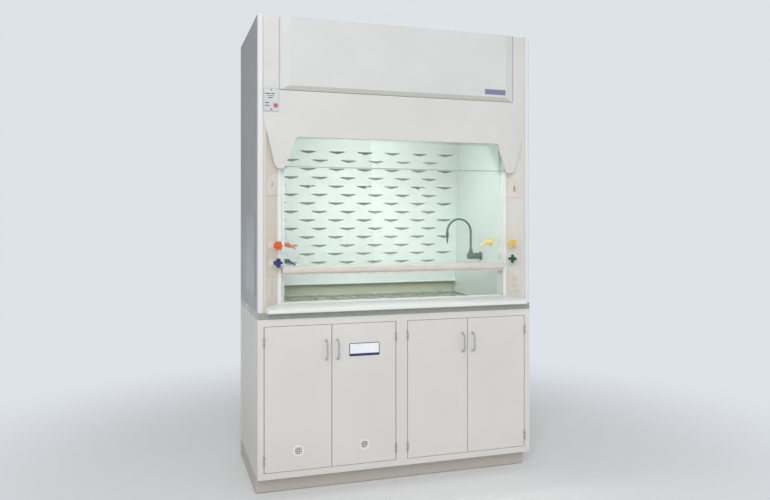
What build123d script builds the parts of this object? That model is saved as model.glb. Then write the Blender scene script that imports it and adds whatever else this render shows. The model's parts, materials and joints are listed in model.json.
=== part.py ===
from build123d import *
import math
import os

os.makedirs("parts", exist_ok=True)

# A bench fume hood on two base cabinets, in millimetres.
# x runs across the front from the middle, y runs from the front plane to the back, z runs up
# from the floor. Left means the side at negative x. Sizes called "inset" are measured inwards
# from the outer side of the hood. The finished pieces are moved so that the origin lies on the
# floor under the middle of the whole object.

# Overall sizes
hood_width = 1524.0
hood_depth = 750.0
base_height = 896.0
slab_thickness = 34.0
superstructure_height = 1498.0
side = -hood_width / 2    # outer face of the left side
work_top = base_height + slab_thickness
hood_top = work_top + superstructure_height

# Fits
seam = 0.3                # left between pieces that meet
running_fit = 0.08        # radial, pins and shafts in their bores
slide_fit = 0.4           # sliding pieces in their guides

# Lengths that leave no mark on the object
past = 5.0                # cutters run past the faces they open
root = 1.0                # forms fused into one piece run into each other by this
sharp = 0.01              # corner of an outline left sharp
hair = 0.001              # keeps two faces of a cut from lying in one plane
far = 2 * hood_top        # well outside the hood

# Base cabinets
cabinet_width = hood_width / 2
stile_width = 31.0
top_rail_height = 35.0
bottom_rail_height = 32.0
face_frame_depth = 25.0
cabinet_wall = 3.0
cabinet_floor = 4.0
toe_height = 92.0
toe_depth = 79.0
plinth_lift = 3.0
gusset_size = 56.0
gusset_height = 38.0
foot_radius = 19.0
foot_height = 11.0
foot_chamfer = 3.0
foot_stud_radius = 5.0
foot_stud_above = 14.0    # stud above its gusset
foot_nut_radius = 9.0
foot_nut_thickness = 4.0
shelf_height = 490.0
shelf_thickness = 2.0
shelf_lip = 18.0
shelf_side_gap = 1.5
shelf_front_gap = 22.0
shelf_back_gap = 12.0
shelf_lug = (12.0, 14.0, 8.0)
shelf_lug_front = 95.0
shelf_lug_back = 110.0    # from the back of the hood

# Doors, hinges and pulls
door_thickness = 20.0
door_edge_radius = 1.5
door_gap = 2.0            # above and below a door
hinge_gap = 3.2           # between a door and its stile
meeting_gap = 3.0         # between the two doors of a pair
door_pan_margin = 28.0
door_pan_depth = 2.0
hinge_height = 54.0
hinge_barrel_radius = 4.0
hinge_pin_radius = 2.0
hinge_leaf_thickness = 1.2
hinge_leaf_depth = 15.0
hinge_leaf_seat = 0.02    # between a leaf and its stile
hinge_low = toe_height + 97.0
hinge_high = base_height - 114.0
knuckles = 5
pull_centre_height = base_height - 167.0
pull_length = 108.0
pull_grip_length = 78.0
pull_reach = 30.0
pull_rod_radius = 4.0
pull_bend_radius = 7.0
pull_foot_radius = 6.0
pull_foot_thickness = 2.5
pull_inset = 30.0         # from the line where the doors meet
vent_height = toe_height + 133.0
vent_radius = 28.0
vent_hole_radius = 22.0
vent_flange = 2.0
vent_barrel = 12.0
vent_bar = 2.6
vent_pitch = 9.0
vent_bars = 5

# Work surface
slab_edge = 1.5
dish_depth = 6.0
dish_inset = 165.0
dish_front = 105.0
dish_back = hood_depth - 60.0
dish_corner = 18.0

# Side panels and their access covers
bead_radius = 13.0
bead_width = 27.0
bead_return = 16.0
sheet = 2.0
fold_radius = 3.0
rear_flange = 20.0
access_front = 96.0
access_back = hood_depth - 281.0
access_low = work_top + 75.0
access_high = work_top + 495.0
access_lap = 15.0
access_corner = 6.0

# Front posts
post_band_inset = 42.0    # flat band beside the bead ends here
post_band_setback = 4.0
post_band_fold = 2.0
post_face_inset = 110.0   # angled face ends here, at the sash track
post_face_depth = 64.0
post_return = 24.0

# Sash tracks
track_wall = 3.0
track_inset = 131.0       # inner edge of the track's front strip
track_slot = 24.0
track_top_gap = 8.0
track_edge = 1.0

# Header and upper front cover
header_proud = 6.0        # face of the header in front of the front plane
header_skin = 3.0
header_shell_depth = 20.0
header_short = 6.0
header_outer_inset = 29.0
header_crease_inset = 119.0
header_slope_top = hood_top - 508.0
header_slope = 0.0577
header_flank_fall = 6.0
ear_shoulder = hood_top - 515.0
ear_shoulder_radius = 40.0
ear_tip_outer_inset = 87.0
ear_tip_outer_height = hood_top - 749.0
ear_tip_outer_radius = 30.0
ear_tip_low = hood_top - 768.0
ear_tip_flat_inset = 101.0
ear_tip_inner_inset = 138.0
ear_tip_inner_radius = 9.0
ear_corner = 14.0
window_top = hood_top - 608.0
window_top_inset = 194.0
window_corner = 24.0
cover_inset = 112.0
cover_low = hood_top - 373.0
cover_short = 4.0
cover_raise = 16.0
cover_side_bevel = 48.0
cover_low_bevel = 21.0
cover_top_bevel = 5.0
cover_gap = 6.0
cover_low_gap = 3.0
cover_seat_depth = 2.0    # recessed ledge that the cover closes against, behind the front plane
cover_ledge = 22.0
view_pane_thickness = 5.0
view_pane_inset = 114.0
view_pane_low = hood_top - 756.0
view_pane_high = hood_top - 523.0
glass_edge = 0.8

# Roof, back and head rail
roof_drop = 10.0
roof_flange = 16.0
rear_sheet = 3.0
head_rail_gap = 10.0      # behind the bearings of the sash shaft
head_rail_depth = 38.0
head_rail_height = 42.0
head_rail_wall = 3.0

# Liner, ceiling and baffles
liner_inset = 150.0       # inner face of the side liner
liner_thickness = 5.0
ceiling_height = hood_top - 368.0
baffle_thickness = 5.0
baffle_low = work_top + 76.0
baffle_split = hood_top - 804.0
baffle_high = hood_top - 542.0
baffle_low_depth = hood_depth - 45.0
baffle_split_depth = hood_depth - 74.0
baffle_high_depth = hood_depth - 100.0
baffle_lip = 14.0
top_baffle_high = hood_top - 398.0
top_baffle_front = hood_depth - 260.0
slot_width = 97.0
slot_height = 18.0
slot_end_height = 5.0
slot_row_pitch = 51.8
slot_first_row = work_top + 202.0
slot_rows = 14
slot_columns = 7
slot_left_margin = 14.0
slot_right_margin = 42.0
slot_stagger = 74.0
bracket_width = 3.0
bracket_tall = 46.0
bracket_foot = 18.0
bracket_heights = (work_top + 120.0, work_top + 400.0, baffle_split - 34.0, baffle_high - 46.0)

# Exhaust collar
collar_radius = 127.0
collar_wall = 2.0
collar_flange = 22.0
collar_flange_thickness = 3.0
collar_stand = 40.0
collar_back = 158.0       # centre of the collar in front of the hood's back
collar_bead = 2.0         # rolled bead that a duct is pushed down to
collar_bead_height = 5.0
collar_bead_lift = 3.0
roof_hole_gap = 3.0

# Lamp above the ceiling
lamp_length = 660.0
lamp_width = 190.0
lamp_front = 140.0
lamp_tall = 100.0
lamp_rim = 20.0
lamp_edge_radius = 8.0
lens_thickness = 5.0
tube_radius = 13.0
tube_pitch = 70.0
tube_drop = 42.0
holder_thickness = 18.0
holder_end_gap = 12.0

# Airfoil sill
sill_inset = 41.0
sill_reach = 60.0
sill_back = 92.0
sill_nose_height = 20.0
sill_back_height = 42.0
sill_skin = 3.0
sill_lip = 28.0
sill_nose_radius = 9.0
sill_corner = 24.0
sill_fins = 5
sill_fin_thickness = 3.0
sill_fin_front = 5.0
sill_fin_back = 82.0
sill_fin_inset = 191.0

# Sash
glass_thickness = 6.0
glass_inset = 117.0
glass_top = hood_top - 588.0
glass_setback = 76.0      # front of the glass behind the front plane
handle_height = work_top + 210.0          # middle of the lift handle, sash as it stands
handle_radius = 18.0
handle_wall = 2.5
handle_centre_depth = 52.0
handle_end_gap = 1.6
handle_channel_wall = 4.5
handle_channel_low = 12.0
handle_channel_high = 14.0
handle_channel_root = 6.0
strip_low = 29.0
strip_high = 11.0
strip_setback = 8.0       # behind the middle of the handle
strip_thickness = 3.0
strip_slot = 40.0
strip_slot_height = 5.0
strip_slot_lift = 1.5
strip_slot_pitch = 75.0
strip_slots = 16
glide_inset = 125.0
glide_edge = 1.5
lug_height = 10.0

# Sash counterbalance
cable_radius = 1.5
cable_inset = 119.0
pulley_pitch_radius = 35.5
pulley_rim = 5.0
pulley_rim_thickness = 4.0
pulley_width = 12.0
pulley_groove = 5.0
pulley_hub_radius = 15.0
pulley_web = 5.0
pulley_holes = 5
pulley_hole_radius = 5.0
shaft_radius = 8.0
shaft_drop = 60.0         # shaft axis below the top of the hood
shaft_end = 6.0
bearing_thickness = 12.0
bearing_gap = 4.0
bearing_height = 40.0
weight_size = (38.0, 74.0, 360.0)
weight_top = hood_top - 288.0
weight_shift = 1.0        # the weights hang a little nearer the middle than their cables
weight_eye_radius = 7.0
weight_eye_height = 12.0
weight_corner = 4.0

# Switches and outlets on the angled post faces
plate_width = 70.0
plate_height = 115.0
plate_thickness = 3.5
plate_edge = 2.0
body_gap = 1.0
switch_height = work_top + 650.0
outlet_height = work_top + 119.0
switch_body = (26.0, 66.0, 32.0)
toggle_slot = (9.0, 22.0)
toggle_pivot_depth = 5.0
toggle_pivot_radius = 4.0
toggle_floor_gap = 1.5
toggle_length = 20.0
toggle_tilt = 15.0
toggle_foot = (6.4, 4.9)
toggle_tip = (7.6, 7.0)
toggle_edge = 1.6
outlet_body = (33.0, 68.0, 26.0)
outlet_pitch = 38.0
outlet_face_radius = 17.0
outlet_face_flat = 14.0
outlet_face_proud = 0.8
outlet_blade = (2.0, 7.5)
outlet_blade_offset = 6.3
outlet_blade_rise = 3.0
outlet_ground_radius = 2.4
outlet_ground_drop = 7.5
outlet_slot_depth = 6.0

# Service valves on the angled post faces
valve_upper = work_top + 338.0
valve_lower = work_top + 250.0
escutcheon_radius = 25.0
escutcheon_thickness = 4.0
escutcheon_edge = 2.5
bonnet_radius = 13.0
bonnet_length = 20.0
valve_shank_radius = 9.0
valve_shank_length = 30.0
valve_nut_radius = 15.0
valve_nut_thickness = 8.0
spindle_radius = 4.0
spindle_depth = 14.0
knob_radius = 24.0
knob_hub_radius = 12.75
knob_thickness = 20.0
knob_neck = 14.0
knob_neck_radius = 11.0
knob_neck_taper = 12.0
knob_lobe_radius = 7.5
knob_crown = 5.0
knob_crown_radius = 7.9
knob_crown_taper = 20.0
knob_edge = 2.0

# Outlets of the services inside the hood
nozzle_depth = 180.0
nozzle_disc_radius = 25.0
nozzle_disc_thickness = 5.0
nozzle_disc_edge = 3.0
nozzle_neck_radius = 9.5
nozzle_neck_length = 36.0
nozzle_tilt = 32.0
barb_length = 46.0
barb_radius = 7.5
barb_tip_radius = 4.0
barb_teeth = 4
barb_bore = 2.2
barb_start_share = 0.15   # of its length, before the first tooth
barb_waist_share = 0.8    # of the radius, between two teeth
barb_bore_share = 0.6     # of its length

# Gooseneck faucet on the right liner
faucet_depth = 323.0
faucet_height = work_top + 251.0
faucet_flange_radius = 26.0
faucet_flange_thickness = 5.0
faucet_barrel_radius = 18.5
faucet_barrel_edge = 4.0
faucet_reach = 86.0
faucet_riser_reach = 65.0
faucet_boss_radius = 13.0
faucet_boss_height = 33.0
faucet_boss_edge = 2.0
faucet_socket_depth = 16.0
gooseneck_radius = 6.35
gooseneck_bend = 75.6
gooseneck_rise = 144.0    # from the faucet to the start of the bend
gooseneck_collar_radius = 10.0
gooseneck_collar_height = 9.0
spout_radius = 8.7
spout_length = 30.0
spout_edge = 2.0
spout_barb_length = 37.0

# Air monitor on the left flank of the header
monitor_width = 75.0
monitor_height = 114.0
monitor_thickness = 9.0
monitor_centre_height = hood_top - 427.0
monitor_centre_inset = 67.5
monitor_corner = 3.0
monitor_edge = 1.2
button_size = 17.0
button_travel = 1.5
button_proud = 2.2
button_place = (22.0, -29.0)
button_fit = 0.35
button_edge = 0.8

# Places that follow from the sizes above
roof_top = hood_top - roof_drop
roof_under = roof_top - sheet
post_top = roof_under - seam
track_front = post_face_depth
track_back = track_front + track_slot + 2 * track_wall
liner_front = track_back + seam
liner_top = ceiling_height - seam
rear_face = hood_depth - rear_sheet
chamber_width = hood_width - 2 * liner_inset
slot_pitch = (chamber_width - slot_left_margin - slot_right_margin - slot_width) / (slot_columns - 1)
bracket_places = (-2 * slot_pitch, 0, 2 * slot_pitch)
shaft_depth = glass_setback + glass_thickness / 2 + pulley_pitch_radius
shaft_height = hood_top - shaft_drop
pulley_radius = pulley_pitch_radius + pulley_rim
track_top = shaft_height - pulley_radius - track_top_gap
collar_depth = hood_depth - collar_back
ceiling_top = ceiling_height + liner_thickness
front = -(hood_depth - sill_reach) / 2     # the front plane, from the origin


def inset(distance):
    return side + distance


def block(x0, x1, y0, y1, z0, z1):
    size = Box(x1 - x0, y1 - y0, z1 - z0)
    return Pos((x0 + x1) / 2, (y0 + y1) / 2, (z0 + z1) / 2) * size


def mirrored(shape):
    return mirror(shape, about=Plane.YZ)


def both_sides(shape):
    return [shape, mirrored(shape)]


def save(name, *shapes):
    placed = [Pos(0, front, 0) * shape for shape in shapes]
    if len(placed) == 1:
        export_step(placed[0], f"parts/{name}.step")
    else:
        solids = [solid for shape in placed for solid in shape.solids()]
        export_step(Compound(children=solids), f"parts/{name}.step")


def sheet_profile(points, thickness, radii):
    path = FilletPolyline(*points, radius=radii)
    outline = Wire(path.edges()).offset_2d(thickness, kind=Kind.INTERSECTION, side=Side.LEFT, closed=True)
    return Face(outline)


def upright(face, z0, z1):
    return Pos(0, 0, z0) * extrude(face, amount=z1 - z0)


# Profile in the y-z plane, given as (y, z) points, drawn out across the hood
def across(points, x0, x1, radii=None):
    plane = Plane(origin=(x0, 0, 0), x_dir=(0, 1, 0), z_dir=(1, 0, 0))
    if radii is None:
        outline = Polyline(*points, close=True)
    else:
        outline = FilletPolyline(*points, radius=radii, close=True)
    return extrude(plane * make_face(outline), amount=x1 - x0)


# Base cabinets, shelves and feet

def cabinet(centre):
    half = (cabinet_width - seam) / 2
    wall = cabinet_wall
    floor_top = toe_height + cabinet_floor
    shell = block(-half, half, 0, hood_depth, plinth_lift, base_height)
    shell -= block(-half + wall, half - wall, face_frame_depth, hood_depth - wall,
                   floor_top, base_height + past)
    opening = half - stile_width + seam / 2
    shell -= block(-opening, opening, -past, face_frame_depth + past,
                   toe_height + bottom_rail_height, base_height - top_rail_height)
    shell -= block(-half - past, half + past, -past, toe_depth, plinth_lift - past, toe_height)
    shell -= block(-half + wall, half - wall, toe_depth + wall, hood_depth - wall,
                   plinth_lift - past, toe_height)
    shell += block(-half, half, hood_depth - face_frame_depth, hood_depth,
                   base_height - top_rail_height, base_height)
    for x in (-half + wall, half - wall - gusset_size):
        for y in (toe_depth + wall, hood_depth - wall - gusset_size):
            plate = block(x, x + gusset_size, y, y + gusset_size, gusset_height, gusset_height + cabinet_floor)
            hole = Pos(x + gusset_size / 2, y + gusset_size / 2, gusset_height) * Cylinder(
                foot_stud_radius + seam, 3 * cabinet_floor)
            shell += plate - hole
    length, depth, tall = shelf_lug
    for x in (-half + wall, half - wall - length):
        for y in (shelf_lug_front, hood_depth - shelf_lug_back):
            shell += block(x, x + length, y, y + depth, shelf_height - tall, shelf_height)
    return Pos(centre, 0, 0) * shell


def cabinet_feet(centre):
    half = (cabinet_width - seam) / 2
    feet = []
    for x in (-half + cabinet_wall + gusset_size / 2, half - cabinet_wall - gusset_size / 2):
        for y in (toe_depth + cabinet_wall + gusset_size / 2, hood_depth - cabinet_wall - gusset_size / 2):
            pad = Pos(0, 0, foot_height / 2) * Cylinder(foot_radius, foot_height)
            pad = chamfer(pad.edges().group_by(Axis.Z)[-1], foot_chamfer)
            stud_top = gusset_height + cabinet_floor + foot_stud_above
            stud = Pos(0, 0, stud_top / 2) * Cylinder(foot_stud_radius, stud_top)
            nut = extrude(RegularPolygon(foot_nut_radius, 6), amount=foot_nut_thickness)
            nut = Pos(0, 0, gusset_height - seam - foot_nut_thickness) * nut
            feet.append(Pos(centre + x, y, 0) * (pad + stud + nut))
    return feet


def cabinet_shelf(centre):
    half = (cabinet_width - seam) / 2 - cabinet_wall - shelf_side_gap
    y0 = face_frame_depth + shelf_front_gap
    y1 = hood_depth - cabinet_wall - shelf_back_gap
    z0 = shelf_height + seam
    shelf = block(-half, half, y0, y1, z0, z0 + shelf_thickness)
    for y in (y0, y1 - shelf_thickness):
        lip_half = half - shelf_lug[0]
        shelf += block(-lip_half, lip_half, y, y + shelf_thickness, z0 - shelf_lip, z0 + shelf_thickness)
    return Pos(centre, 0, 0) * shelf


# Hinge halves about the origin: x runs from the stile to the door and y runs back

knuckle = hinge_height / knuckles
hinge_axis_out = hinge_barrel_radius + seam     # in front of the front plane


def hinge_knuckles(rows):
    barrel = None
    for row in rows:
        z = -hinge_height / 2 + (row + 0.5) * knuckle
        piece = Pos(0, 0, z) * Cylinder(hinge_barrel_radius, knuckle - seam)
        barrel = piece if barrel is None else barrel + piece
    return barrel


def hinge_leaf(x0, x1, rows):
    y0 = hinge_axis_out + seam
    leaf = block(x0, x1, y0, y0 + hinge_leaf_depth, -hinge_height / 2, hinge_height / 2)
    for row in rows:
        z = -hinge_height / 2 + (row + 0.5) * knuckle
        reach = (knuckle - seam) / 2
        leaf += block(x0, x1, 0, y0 + root, z - reach, z + reach)
    return leaf


def fixed_hinge_half():
    rows = range(0, knuckles, 2)
    pin = Cylinder(hinge_pin_radius, hinge_height - seam)
    x0 = -hinge_gap / 2 + hinge_leaf_seat
    return hinge_knuckles(rows) + pin + hinge_leaf(x0, x0 + hinge_leaf_thickness, rows)


def moving_hinge_half():
    rows = range(1, knuckles, 2)
    half = hinge_knuckles(rows) + hinge_leaf(hinge_gap / 2 - hinge_leaf_thickness, hinge_gap / 2, rows)
    return half - Cylinder(hinge_pin_radius + running_fit, hinge_height + past)


# A door hung on its left edge, in a cabinet whose middle is x = 0

hinge_axis_x = -cabinet_width / 2 + stile_width + hinge_gap / 2


def door(with_vent):
    x0 = hinge_axis_x + hinge_gap / 2
    x1 = -meeting_gap / 2
    z0 = toe_height + bottom_rail_height + door_gap
    z1 = base_height - top_rail_height - door_gap
    panel = block(x0, x1, 0, door_thickness, z0, z1)
    panel = fillet(panel.faces().sort_by(Axis.Y)[0].edges(), door_edge_radius)
    margin = door_pan_margin
    panel -= block(x0 + margin, x1 - margin, door_thickness - door_pan_depth, door_thickness + past,
                   z0 + margin, z1 - margin)
    if with_vent:
        hole = Cylinder(vent_hole_radius, 3 * door_thickness, rotation=(90, 0, 0))
        panel -= Pos((x0 + x1) / 2, 0, vent_height) * hole
    for z in (hinge_low, hinge_high):
        panel += Pos(hinge_axis_x, -hinge_axis_out, z) * moving_hinge_half()
    return panel


def door_vent():
    x = (hinge_axis_x + hinge_gap / 2 - meeting_gap / 2) / 2
    grille = Circle(vent_radius) - Circle(vent_hole_radius - vent_bar)
    bars = None
    for place in range(vent_bars):
        step = place - (vent_bars - 1) / 2
        bar = Pos(0, step * vent_pitch) * Rectangle(2 * vent_hole_radius, vent_bar)
        bar += Pos(step * vent_pitch, 0) * Rectangle(vent_bar, 2 * vent_hole_radius)
        bars = bar if bars is None else bars + bar
    grille += bars & Circle(vent_hole_radius)
    plate = extrude(grille, amount=vent_flange)
    barrel = extrude(Circle(vent_hole_radius - seam) - Circle(vent_hole_radius - vent_bar), amount=-vent_barrel)
    return Plane(origin=(x, -seam, vent_height), x_dir=(1, 0, 0), z_dir=(0, -1, 0)) * (plate + barrel)


def door_pull():
    half_foot = pull_length / 2 - pull_rod_radius
    half_grip = pull_grip_length / 2
    path = FilletPolyline((0, -seam, -half_foot), (0, -pull_reach, -half_grip), (0, -pull_reach, half_grip),
                          (0, -seam, half_foot), radius=pull_bend_radius)
    start = Plane(origin=path @ 0, z_dir=path % 0)
    bow = sweep(start * Circle(pull_rod_radius), path=path)
    bow -= block(-pull_reach, pull_reach, -seam, pull_reach, -pull_length, pull_length)
    for z in (-half_foot, half_foot):
        foot = Cylinder(pull_foot_radius, pull_foot_thickness, rotation=(90, 0, 0))
        bow += Pos(0, -seam - pull_foot_thickness / 2, z) * foot
    return Pos(-pull_inset, 0, pull_centre_height) * bow


def cabinet_hinges(centre):
    left = [Pos(hinge_axis_x, -hinge_axis_out, z) * fixed_hinge_half() for z in (hinge_low, hinge_high)]
    return [Pos(centre, 0, 0) * half for hinge in left for half in both_sides(hinge)]


# Work surface with a dished work area

def work_surface():
    slab = block(side, -side, 0, hood_depth, base_height + seam, work_top)
    slab = chamfer(slab.faces().sort_by(Axis.Y)[0].edges().filter_by(Axis.X), slab_edge)
    dish = block(inset(dish_inset), -inset(dish_inset), dish_front, dish_back,
                 work_top - dish_depth, work_top + past)
    dish = fillet(dish.edges().filter_by(Axis.Z), dish_corner)
    return slab - dish


# Side panels: one folded sheet each, with a rolled bead down the front edge

def side_panel():
    points = [(inset(rear_flange), hood_depth), (side, hood_depth), (side, 0), (inset(bead_width), 0),
              (inset(bead_width), bead_return)]
    radii = [fold_radius, bead_radius, fold_radius]
    panel = upright(sheet_profile(points, sheet, radii), work_top + seam, hood_top)
    panel -= block(side - past, side + 2 * sheet, access_front + access_lap, access_back - access_lap,
                   access_low + access_lap, access_high - access_lap)
    return panel


def access_cover():
    x1 = side - seam
    plate = block(x1 - sheet, x1, access_front, access_back, access_low, access_high)
    return fillet(plate.edges().filter_by(Axis.X), access_corner)


# The angled face of the left post, with its own frame for what is mounted on it

face_run = post_face_inset - post_band_inset
face_rise = post_face_depth - post_band_setback
face_length = math.hypot(face_run, face_rise)
face_along = (face_run / face_length, face_rise / face_length, 0)
face_out = (face_rise / face_length, -face_run / face_length, 0)


def on_post(height, out=0.0):
    middle = (inset((post_band_inset + post_face_inset) / 2), (post_band_setback + post_face_depth) / 2)
    origin = (middle[0] + face_out[0] * out, middle[1] + face_out[1] * out, height)
    return Plane(origin=origin, x_dir=face_along, z_dir=face_out)


def left_post():
    start = bead_width + seam
    points = [(inset(start), post_return), (inset(start), post_band_setback),
              (inset(post_band_inset), post_band_setback), (inset(post_face_inset), post_face_depth),
              (inset(post_face_inset), post_face_depth + post_return)]
    radii = [post_band_fold, fold_radius, fold_radius]
    post = upright(sheet_profile(points, sheet, radii), work_top + seam, post_top)
    for body, height in ((switch_body, switch_height), (outlet_body, outlet_height)):
        post -= on_post(height) * Box(body[0] + body_gap, body[1] + body_gap, 2 * past)
    for height in (valve_upper, valve_lower):
        post -= on_post(height) * Cylinder(valve_shank_radius + seam, 2 * past)
    return post


def left_track():
    x0 = inset(post_face_inset + seam)
    x1 = inset(track_inset)
    channel = block(x0, x1, track_front, track_back, work_top + seam, track_top)
    slot = block(x0 + track_wall, x1 + past, track_front + track_wall, track_back - track_wall,
                 work_top, track_top + past)
    channel = chamfer(channel.edges().filter_by(Axis.Z).sort_by(Axis.Y)[0:2], track_edge)
    return channel - slot


# Header: a moulded shell with two hanging ears either side of a window

def header_outline(grow):
    outer = [(inset(header_outer_inset) - grow, hood_top - header_short + grow),
             (inset(header_outer_inset) - grow, ear_shoulder),
             (inset(ear_tip_outer_inset) - grow, ear_tip_outer_height),
             (inset(ear_tip_flat_inset) - grow * 0.5, ear_tip_low - grow),
             (inset(ear_tip_inner_inset) + grow * 0.5, ear_tip_low - grow),
             (inset(window_top_inset) + grow, window_top - grow)]
    other = [(-x, z) for x, z in reversed(outer)]
    radii = [sharp, ear_shoulder_radius, ear_tip_outer_radius, ear_corner, ear_tip_inner_radius, window_corner]
    radii += list(reversed(radii))
    return make_face(FilletPolyline(*outer, *other, radius=radii, close=True))


def header_body(shift, grow):
    plane = Plane(origin=(0, header_shell_depth + shift, 0), x_dir=(1, 0, 0), z_dir=(0, -1, 0))
    body = extrude(plane * header_outline(grow), amount=header_shell_depth + header_proud + hair)
    slope = [(-header_proud + shift, header_slope_top), (-far, header_slope_top),
             (-far, 0), (-header_proud + shift + header_slope * header_slope_top, 0)]
    body -= across(slope, -far, far)
    fall = header_flank_fall / (header_crease_inset - post_band_inset)
    edge = (inset(header_crease_inset), -header_proud + shift)
    reach = header_crease_inset + past
    wedge = Polyline(edge, (edge[0] - reach, edge[1] + fall * reach), (edge[0] - reach, -far), (edge[0], -far),
                     close=True)
    for cut in both_sides(upright(make_face(wedge), 0, hood_top + past)):
        body -= cut
    pocket_low = cover_low - cover_low_gap - shift
    pocket_half = -inset(cover_inset - cover_gap) + shift
    body -= block(-pocket_half, pocket_half, -far, cover_seat_depth + shift, pocket_low, hood_top + past)
    return body


def header_fascia():
    skin = header_skin
    shell = header_body(0.0, 0.0) - header_body(skin, -skin)
    half = -inset(cover_inset + cover_ledge)
    shell -= block(-half, half, -header_proud - past, header_shell_depth + past,
                   cover_low + cover_ledge, hood_top - cover_ledge)
    clear = seam
    envelope = Polyline((inset(0), post_band_setback - clear),
                        (inset(post_band_inset) + face_out[0] * clear, post_band_setback - clear),
                        (inset(post_face_inset) + face_out[0] * clear, post_face_depth + face_out[1] * clear),
                        (inset(post_face_inset), hood_depth), (inset(0), hood_depth), close=True)
    for post in both_sides(upright(make_face(envelope), 0, hood_top + past)):
        shell -= post
    return shell.solids().sort_by(SortBy.VOLUME)[-1]


# The cover is a raised panel with bevels all round. An offset of 1 moves the edge between a
# bevel and the flat face by the tangent of half the turn.

def bevel_share(run):
    return math.tan(math.atan2(cover_raise, run) / 2)


def cover_form(shrink, back):
    top = hood_top - cover_short
    y_face = -header_proud - cover_raise + shrink
    y_rim = -header_proud + shrink
    x_rim = -inset(cover_inset) - shrink
    x_face = -inset(cover_inset + cover_side_bevel) - shrink * bevel_share(cover_side_bevel)
    low_rim = cover_low + shrink
    low_face = cover_low + cover_low_bevel + shrink * bevel_share(cover_low_bevel)
    high_rim = top - shrink
    high_face = top - cover_top_bevel - shrink * bevel_share(cover_top_bevel)
    rim = Plane(origin=(0, y_rim, 0), x_dir=(1, 0, 0), z_dir=(0, -1, 0))
    face = Plane(origin=(0, y_face, 0), x_dir=(1, 0, 0), z_dir=(0, -1, 0))
    rim_face = rim * Pos(0, (low_rim + high_rim) / 2) * Rectangle(2 * x_rim, high_rim - low_rim)
    front_face = face * Pos(0, (low_face + high_face) / 2) * Rectangle(2 * x_face, high_face - low_face)
    return loft([rim_face, front_face]) + block(-x_rim, x_rim, y_rim, back, low_rim, high_rim)


def upper_front_cover():
    back = cover_seat_depth - seam
    return cover_form(0.0, back) - cover_form(sheet, back + past)


def view_pane():
    x = -inset(view_pane_inset)
    y1 = track_front - seam
    pane = block(-x, x, y1 - view_pane_thickness, y1, view_pane_low, view_pane_high)
    return chamfer(pane.edges().filter_by(Axis.X), glass_edge)


# Roof, rear panel and head rail

header_back = cover_seat_depth + header_skin


def roof_panel():
    x = -inset(sheet + seam)
    y0 = header_back + seam
    y1 = rear_face - seam
    front_x = -inset(post_band_inset + post_band_setback)
    roof = block(-x, x, bead_return + seam, y1, roof_under, roof_top)
    roof += block(-front_x, front_x, y0, y1, roof_under, roof_top)
    roof += block(-front_x, front_x, y0, y0 + sheet, roof_top - roof_flange, roof_top)
    roof += block(-x, x, y1 - sheet, y1, roof_top - roof_flange, roof_top)
    hole = Pos(0, collar_depth, roof_top) * Cylinder(collar_radius + roof_hole_gap, 2 * past)
    return roof - hole


# The rear panel carries the angle brackets that the baffles are screwed to

def rear_panel():
    x = -inset(rear_flange + seam)
    panel = block(-x, x, rear_face, hood_depth, work_top + seam, roof_top)
    for middle in bracket_heights:
        low = middle - bracket_tall / 2
        high = middle + bracket_tall / 2
        y_low = baffle_back(low) + seam
        y_high = baffle_back(high) + seam
        points = [(y_low, low), (y_high, high), (rear_face, high), (rear_face, low)]
        foot_y = max(y_low, y_high)
        for place in bracket_places:
            panel += across(points, place, place + bracket_width)
            panel += block(place, place + bracket_foot, foot_y, foot_y + bracket_width, low, high)
    return panel


def head_rail():
    x = -inset(sheet + seam)
    y0 = shaft_depth + bearing_height + head_rail_gap
    z1 = roof_under - seam
    rail = block(-x, x, y0, y0 + head_rail_depth, z1 - head_rail_height, z1)
    wall = head_rail_wall
    rail -= block(-x - past, x + past, y0 + wall, y0 + head_rail_depth + past,
                  z1 - head_rail_height + wall, z1 - wall)
    x0 = inset(cable_inset) + pulley_width / 2 + bearing_gap
    plate = block(x0, x0 + bearing_thickness, shaft_depth, y0 + root,
                  shaft_height - bearing_height / 2, shaft_height + bearing_height / 2)
    round_end = Pos(x0 + bearing_thickness / 2, shaft_depth, shaft_height) * Cylinder(
        bearing_height / 2, bearing_thickness, rotation=(0, 90, 0))
    bore = Pos(x0 + bearing_thickness / 2, shaft_depth, shaft_height) * Cylinder(
        shaft_radius + running_fit, 3 * bearing_thickness, rotation=(0, 90, 0))
    for bearing in both_sides(plate + round_end - bore):
        rail += bearing
    return rail


def exhaust_collar():
    z0 = ceiling_top + seam
    z1 = hood_top + collar_stand
    bead_low = roof_top + collar_bead_lift
    profile = Polyline((collar_radius - collar_wall, z0), (collar_radius + collar_flange, z0),
                       (collar_radius + collar_flange, z0 + collar_flange_thickness),
                       (collar_radius, z0 + collar_flange_thickness), (collar_radius, bead_low))
    bead = ThreePointArc((collar_radius, bead_low), (collar_radius + collar_bead, bead_low + collar_bead_height / 2),
                         (collar_radius, bead_low + collar_bead_height))
    rest = Polyline((collar_radius, bead_low + collar_bead_height), (collar_radius, z1),
                    (collar_radius - collar_wall, z1), (collar_radius - collar_wall, z0))
    section = Plane.XZ * make_face([*profile.edges(), bead.edge(), *rest.edges()])
    return Pos(0, collar_depth, 0) * revolve(section, axis=Axis.Z)


# Liner of the work chamber

def left_liner():
    outer = inset(liner_inset - liner_thickness)
    inner = inset(liner_inset)
    z0 = work_top + seam
    wall = block(outer, inner, liner_front, rear_face - seam, z0, liner_top)
    return wall + block(inset(post_face_inset + seam), inner, liner_front, liner_front + liner_thickness,
                        z0, liner_top)


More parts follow.
